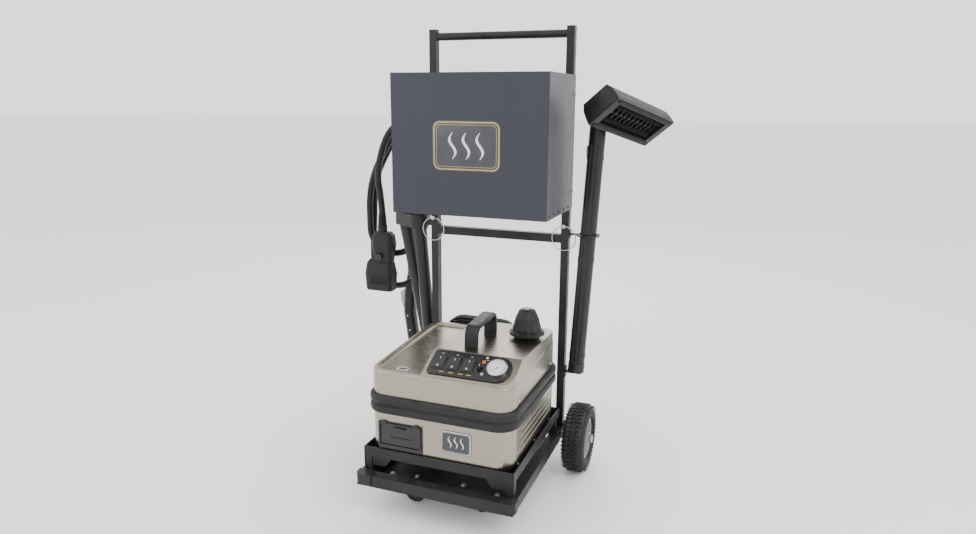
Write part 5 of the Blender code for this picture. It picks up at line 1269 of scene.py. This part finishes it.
def dressCasters():
    for side in ("left", "right"):
        roll = axisOf("caster_roll_" + side)
        hub = pivot("caster_roll_" + side)
        caps = [aimed(hexBolt(0.008, 0.0036, 0.0055), hub + roll * s * 0.0160, roll * s) for s in (-1, 1)]
        piece("casterNuts_" + side, merged(*caps), "zincPlate", "swivel_" + side, slot="zinc")
        p = pivot("caster_turn_" + side)
        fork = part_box("caster_fork_" + side)
        race = ringCollar(0.0178, 0.0030, 0.0010)
        piece("casterRace_" + side, aimed(race, (p.x, p.y, fork[1].z - 0.0113), (0, 0, 1)), "zincPlate",
              "swivel_" + side, slot="zinc")


def dressRack():
    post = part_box("post_left")
    x = (post[0].x + post[1].x) / 2
    face = post[1].y + 0.0033
    heads = [((x, face, z), (0, 1, 0)) for z in (0.290, 0.420, 0.560, 0.800, 0.940)]
    spots("rackRivets", blindRivet(0.0042), heads, "powderCoat", "cart", "frame")
    bead = weldBead([(post[0].x + 0.0004, post[1].y, 0.275 + 0.02 * k) for k in range(3)], 0.0012, 1)
    piece("rackWeld", bead, "powderCoat", "cart", 70, "frame")


def dressRear():
    # rating plate without print, cover screws, vents, ribs on the cord gland and grips on the mains plug
    lo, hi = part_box("rear_cover")
    back = lo.y + 0.0035
    screws = [((lo.x + dx if dx > 0 else hi.x + dx, back, z), (0, 1, 0)) for dx in (0.012, -0.012)
              for z in (0.352, 0.392)]
    spots("rearScrews", panScrew(0.0034, 0.0017), screws, "zincPlate", "cart", "zinc")
    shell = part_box("lower_shell")
    plate = slab(roundedRect(0.084, 0.052, 0.004), 0.0, 0.0009, 0.0003)
    border = frameOf(roundedRect(0.080, 0.048, 0.003), roundedRect(0.077, 0.045, 0.0025), 0.0008, 0.0011)
    turn = Matrix.Translation((midX - 0.110, shell[1].y, 0.232)) @ Matrix.Rotation(-pi / 2, 4, "X")
    piece("ratingPlate", laid(merged(plate, border), turn), "zincPlate", "cart", slot="zinc")
    slot = slab(roundedRect(0.060, 0.0042, 0.0020, 4), -0.0004, 0.0008, 0.0004)
    vents = repeated("row", slot, {"Count": 8, "Step": (0.0, 0.0085, 0.0)}, "mouldedBlack")
    place("rearVents", carried(vents, Matrix.Translation((midX + 0.020, shell[1].y, 0.190))
                               @ Matrix.Rotation(-pi / 2, 4, "X")), "mouldedBlack", "cart", 30, "black_plastic")
    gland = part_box("cord_gland")
    x, z = (gland[0].x + gland[1].x) / 2, (gland[0].z + gland[1].z) / 2
    rings = [aimed(ringCollar(0.0056 + 0.00022 * k, 0.0022, 0.0012), (x, gland[1].y - 0.004 - 0.0045 * k, z), (0, 1, 0))
             for k in range(6)]
    nut = aimed(turned([(0.0090, -0.0034), (0.0132, -0.0034), (0.0138, -0.0028), (0.0138, 0.0028), (0.0132, 0.0034),
                        (0.0090, 0.0034)], 6), (x, gland[0].y + 0.0036, z), (0, 1, 0))
    piece("glandRibs", merged(nut, *rings), "mouldedBlack", "cart", slot="black_plastic")
    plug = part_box("mains_plug")
    px, py = (plug[0].x + plug[1].x) / 2, (plug[0].y + plug[1].y) / 2
    grips = [aimed(ringCollar(0.0062 + 0.00016 * k, 0.0018, 0.0009), (px, py, plug[1].z - 0.004 - 0.0036 * k),
                   (0, 0, 1)) for k in range(6)]
    return piece("plugGrips", merged(*grips), "mouldedBlack", "cart", slot="black_plastic")


# ---- finishes of the pieces kept from the frame
kept = {"powderCoat": ("post_left", "post_right", "handle_bar", "mid_crossbar", "base_rail_left", "base_rail_right",
                       "base_front_bar", "base_rear_bar", "deck_plate", "tray_frame", "wand_ring", "wand_peg",
                       "left_rack"),
        "binEnamel": ("tool_bin",),
        "stainless": ("lower_shell", "upper_shell"),
        "zincPlate": ("axle", "caster_fork_left", "caster_fork_right", "lock_pin_left", "lock_pin_right",
                      "pin_ring_left", "pin_ring_right", "boiler"),
        "rimEnamel": ("rim_left", "rim_right"),
        "beltRubber": ("bumper_belt", "caster_wheel_left", "caster_wheel_right"),
        "tubeBlack": ("wand", "spare_tube_a", "spare_tube_b"),
        "glossBlack": ("control_panel", "rocker_switch_1", "rocker_switch_2", "rocker_switch_3", "control_knob",
                       "gauge_needle", "socket_flap"),
        "mouldedBlack": ("carry_handle", "filler_collar", "filler_cap", "steam_socket", "rear_cover", "cord_gland",
                         "mains_plug", "floor_tool", "tool_neck", "hose_plug", "steam_gun"),
        "greyPlastic": ("water_tank", "gun_trigger"),
        "redLens": ("warning_lamp",),
        "chrome": ("gauge_case",)}


def finishKept():
    for name, nodes in kept.items():
        for node in nodes:
            for slotNumber in range(len(frame["nodes"][node].material_slots)):
                frame["nodes"][node].material_slots[slotNumber].material = surface(name)
    glass = gaugeGlass()
    for slotNumber in range(len(frame["nodes"]["gauge_glass"].material_slots)):
        frame["nodes"]["gauge_glass"].material_slots[slotNumber].material = glass


dressPanel(panelLook)
dressGauge(panelLook)
print("control panel dressed")
dressBin(binLook)
dressCart(cartLook)
makeWheels(wheelLook)
print("cart dressed")
dressShells(shellLook)
dressTop(shellLook)
dressSocket()
print("cleaner dressed")
dressWand(wandLook)
dressTool(toolLook)
hoseBoots = dressHoseEnds(hoseRoute, endLook)
dressGun()
dressCasters()
dressRack()
plugGrips = dressRear()
finishKept()
print("pieces finished")
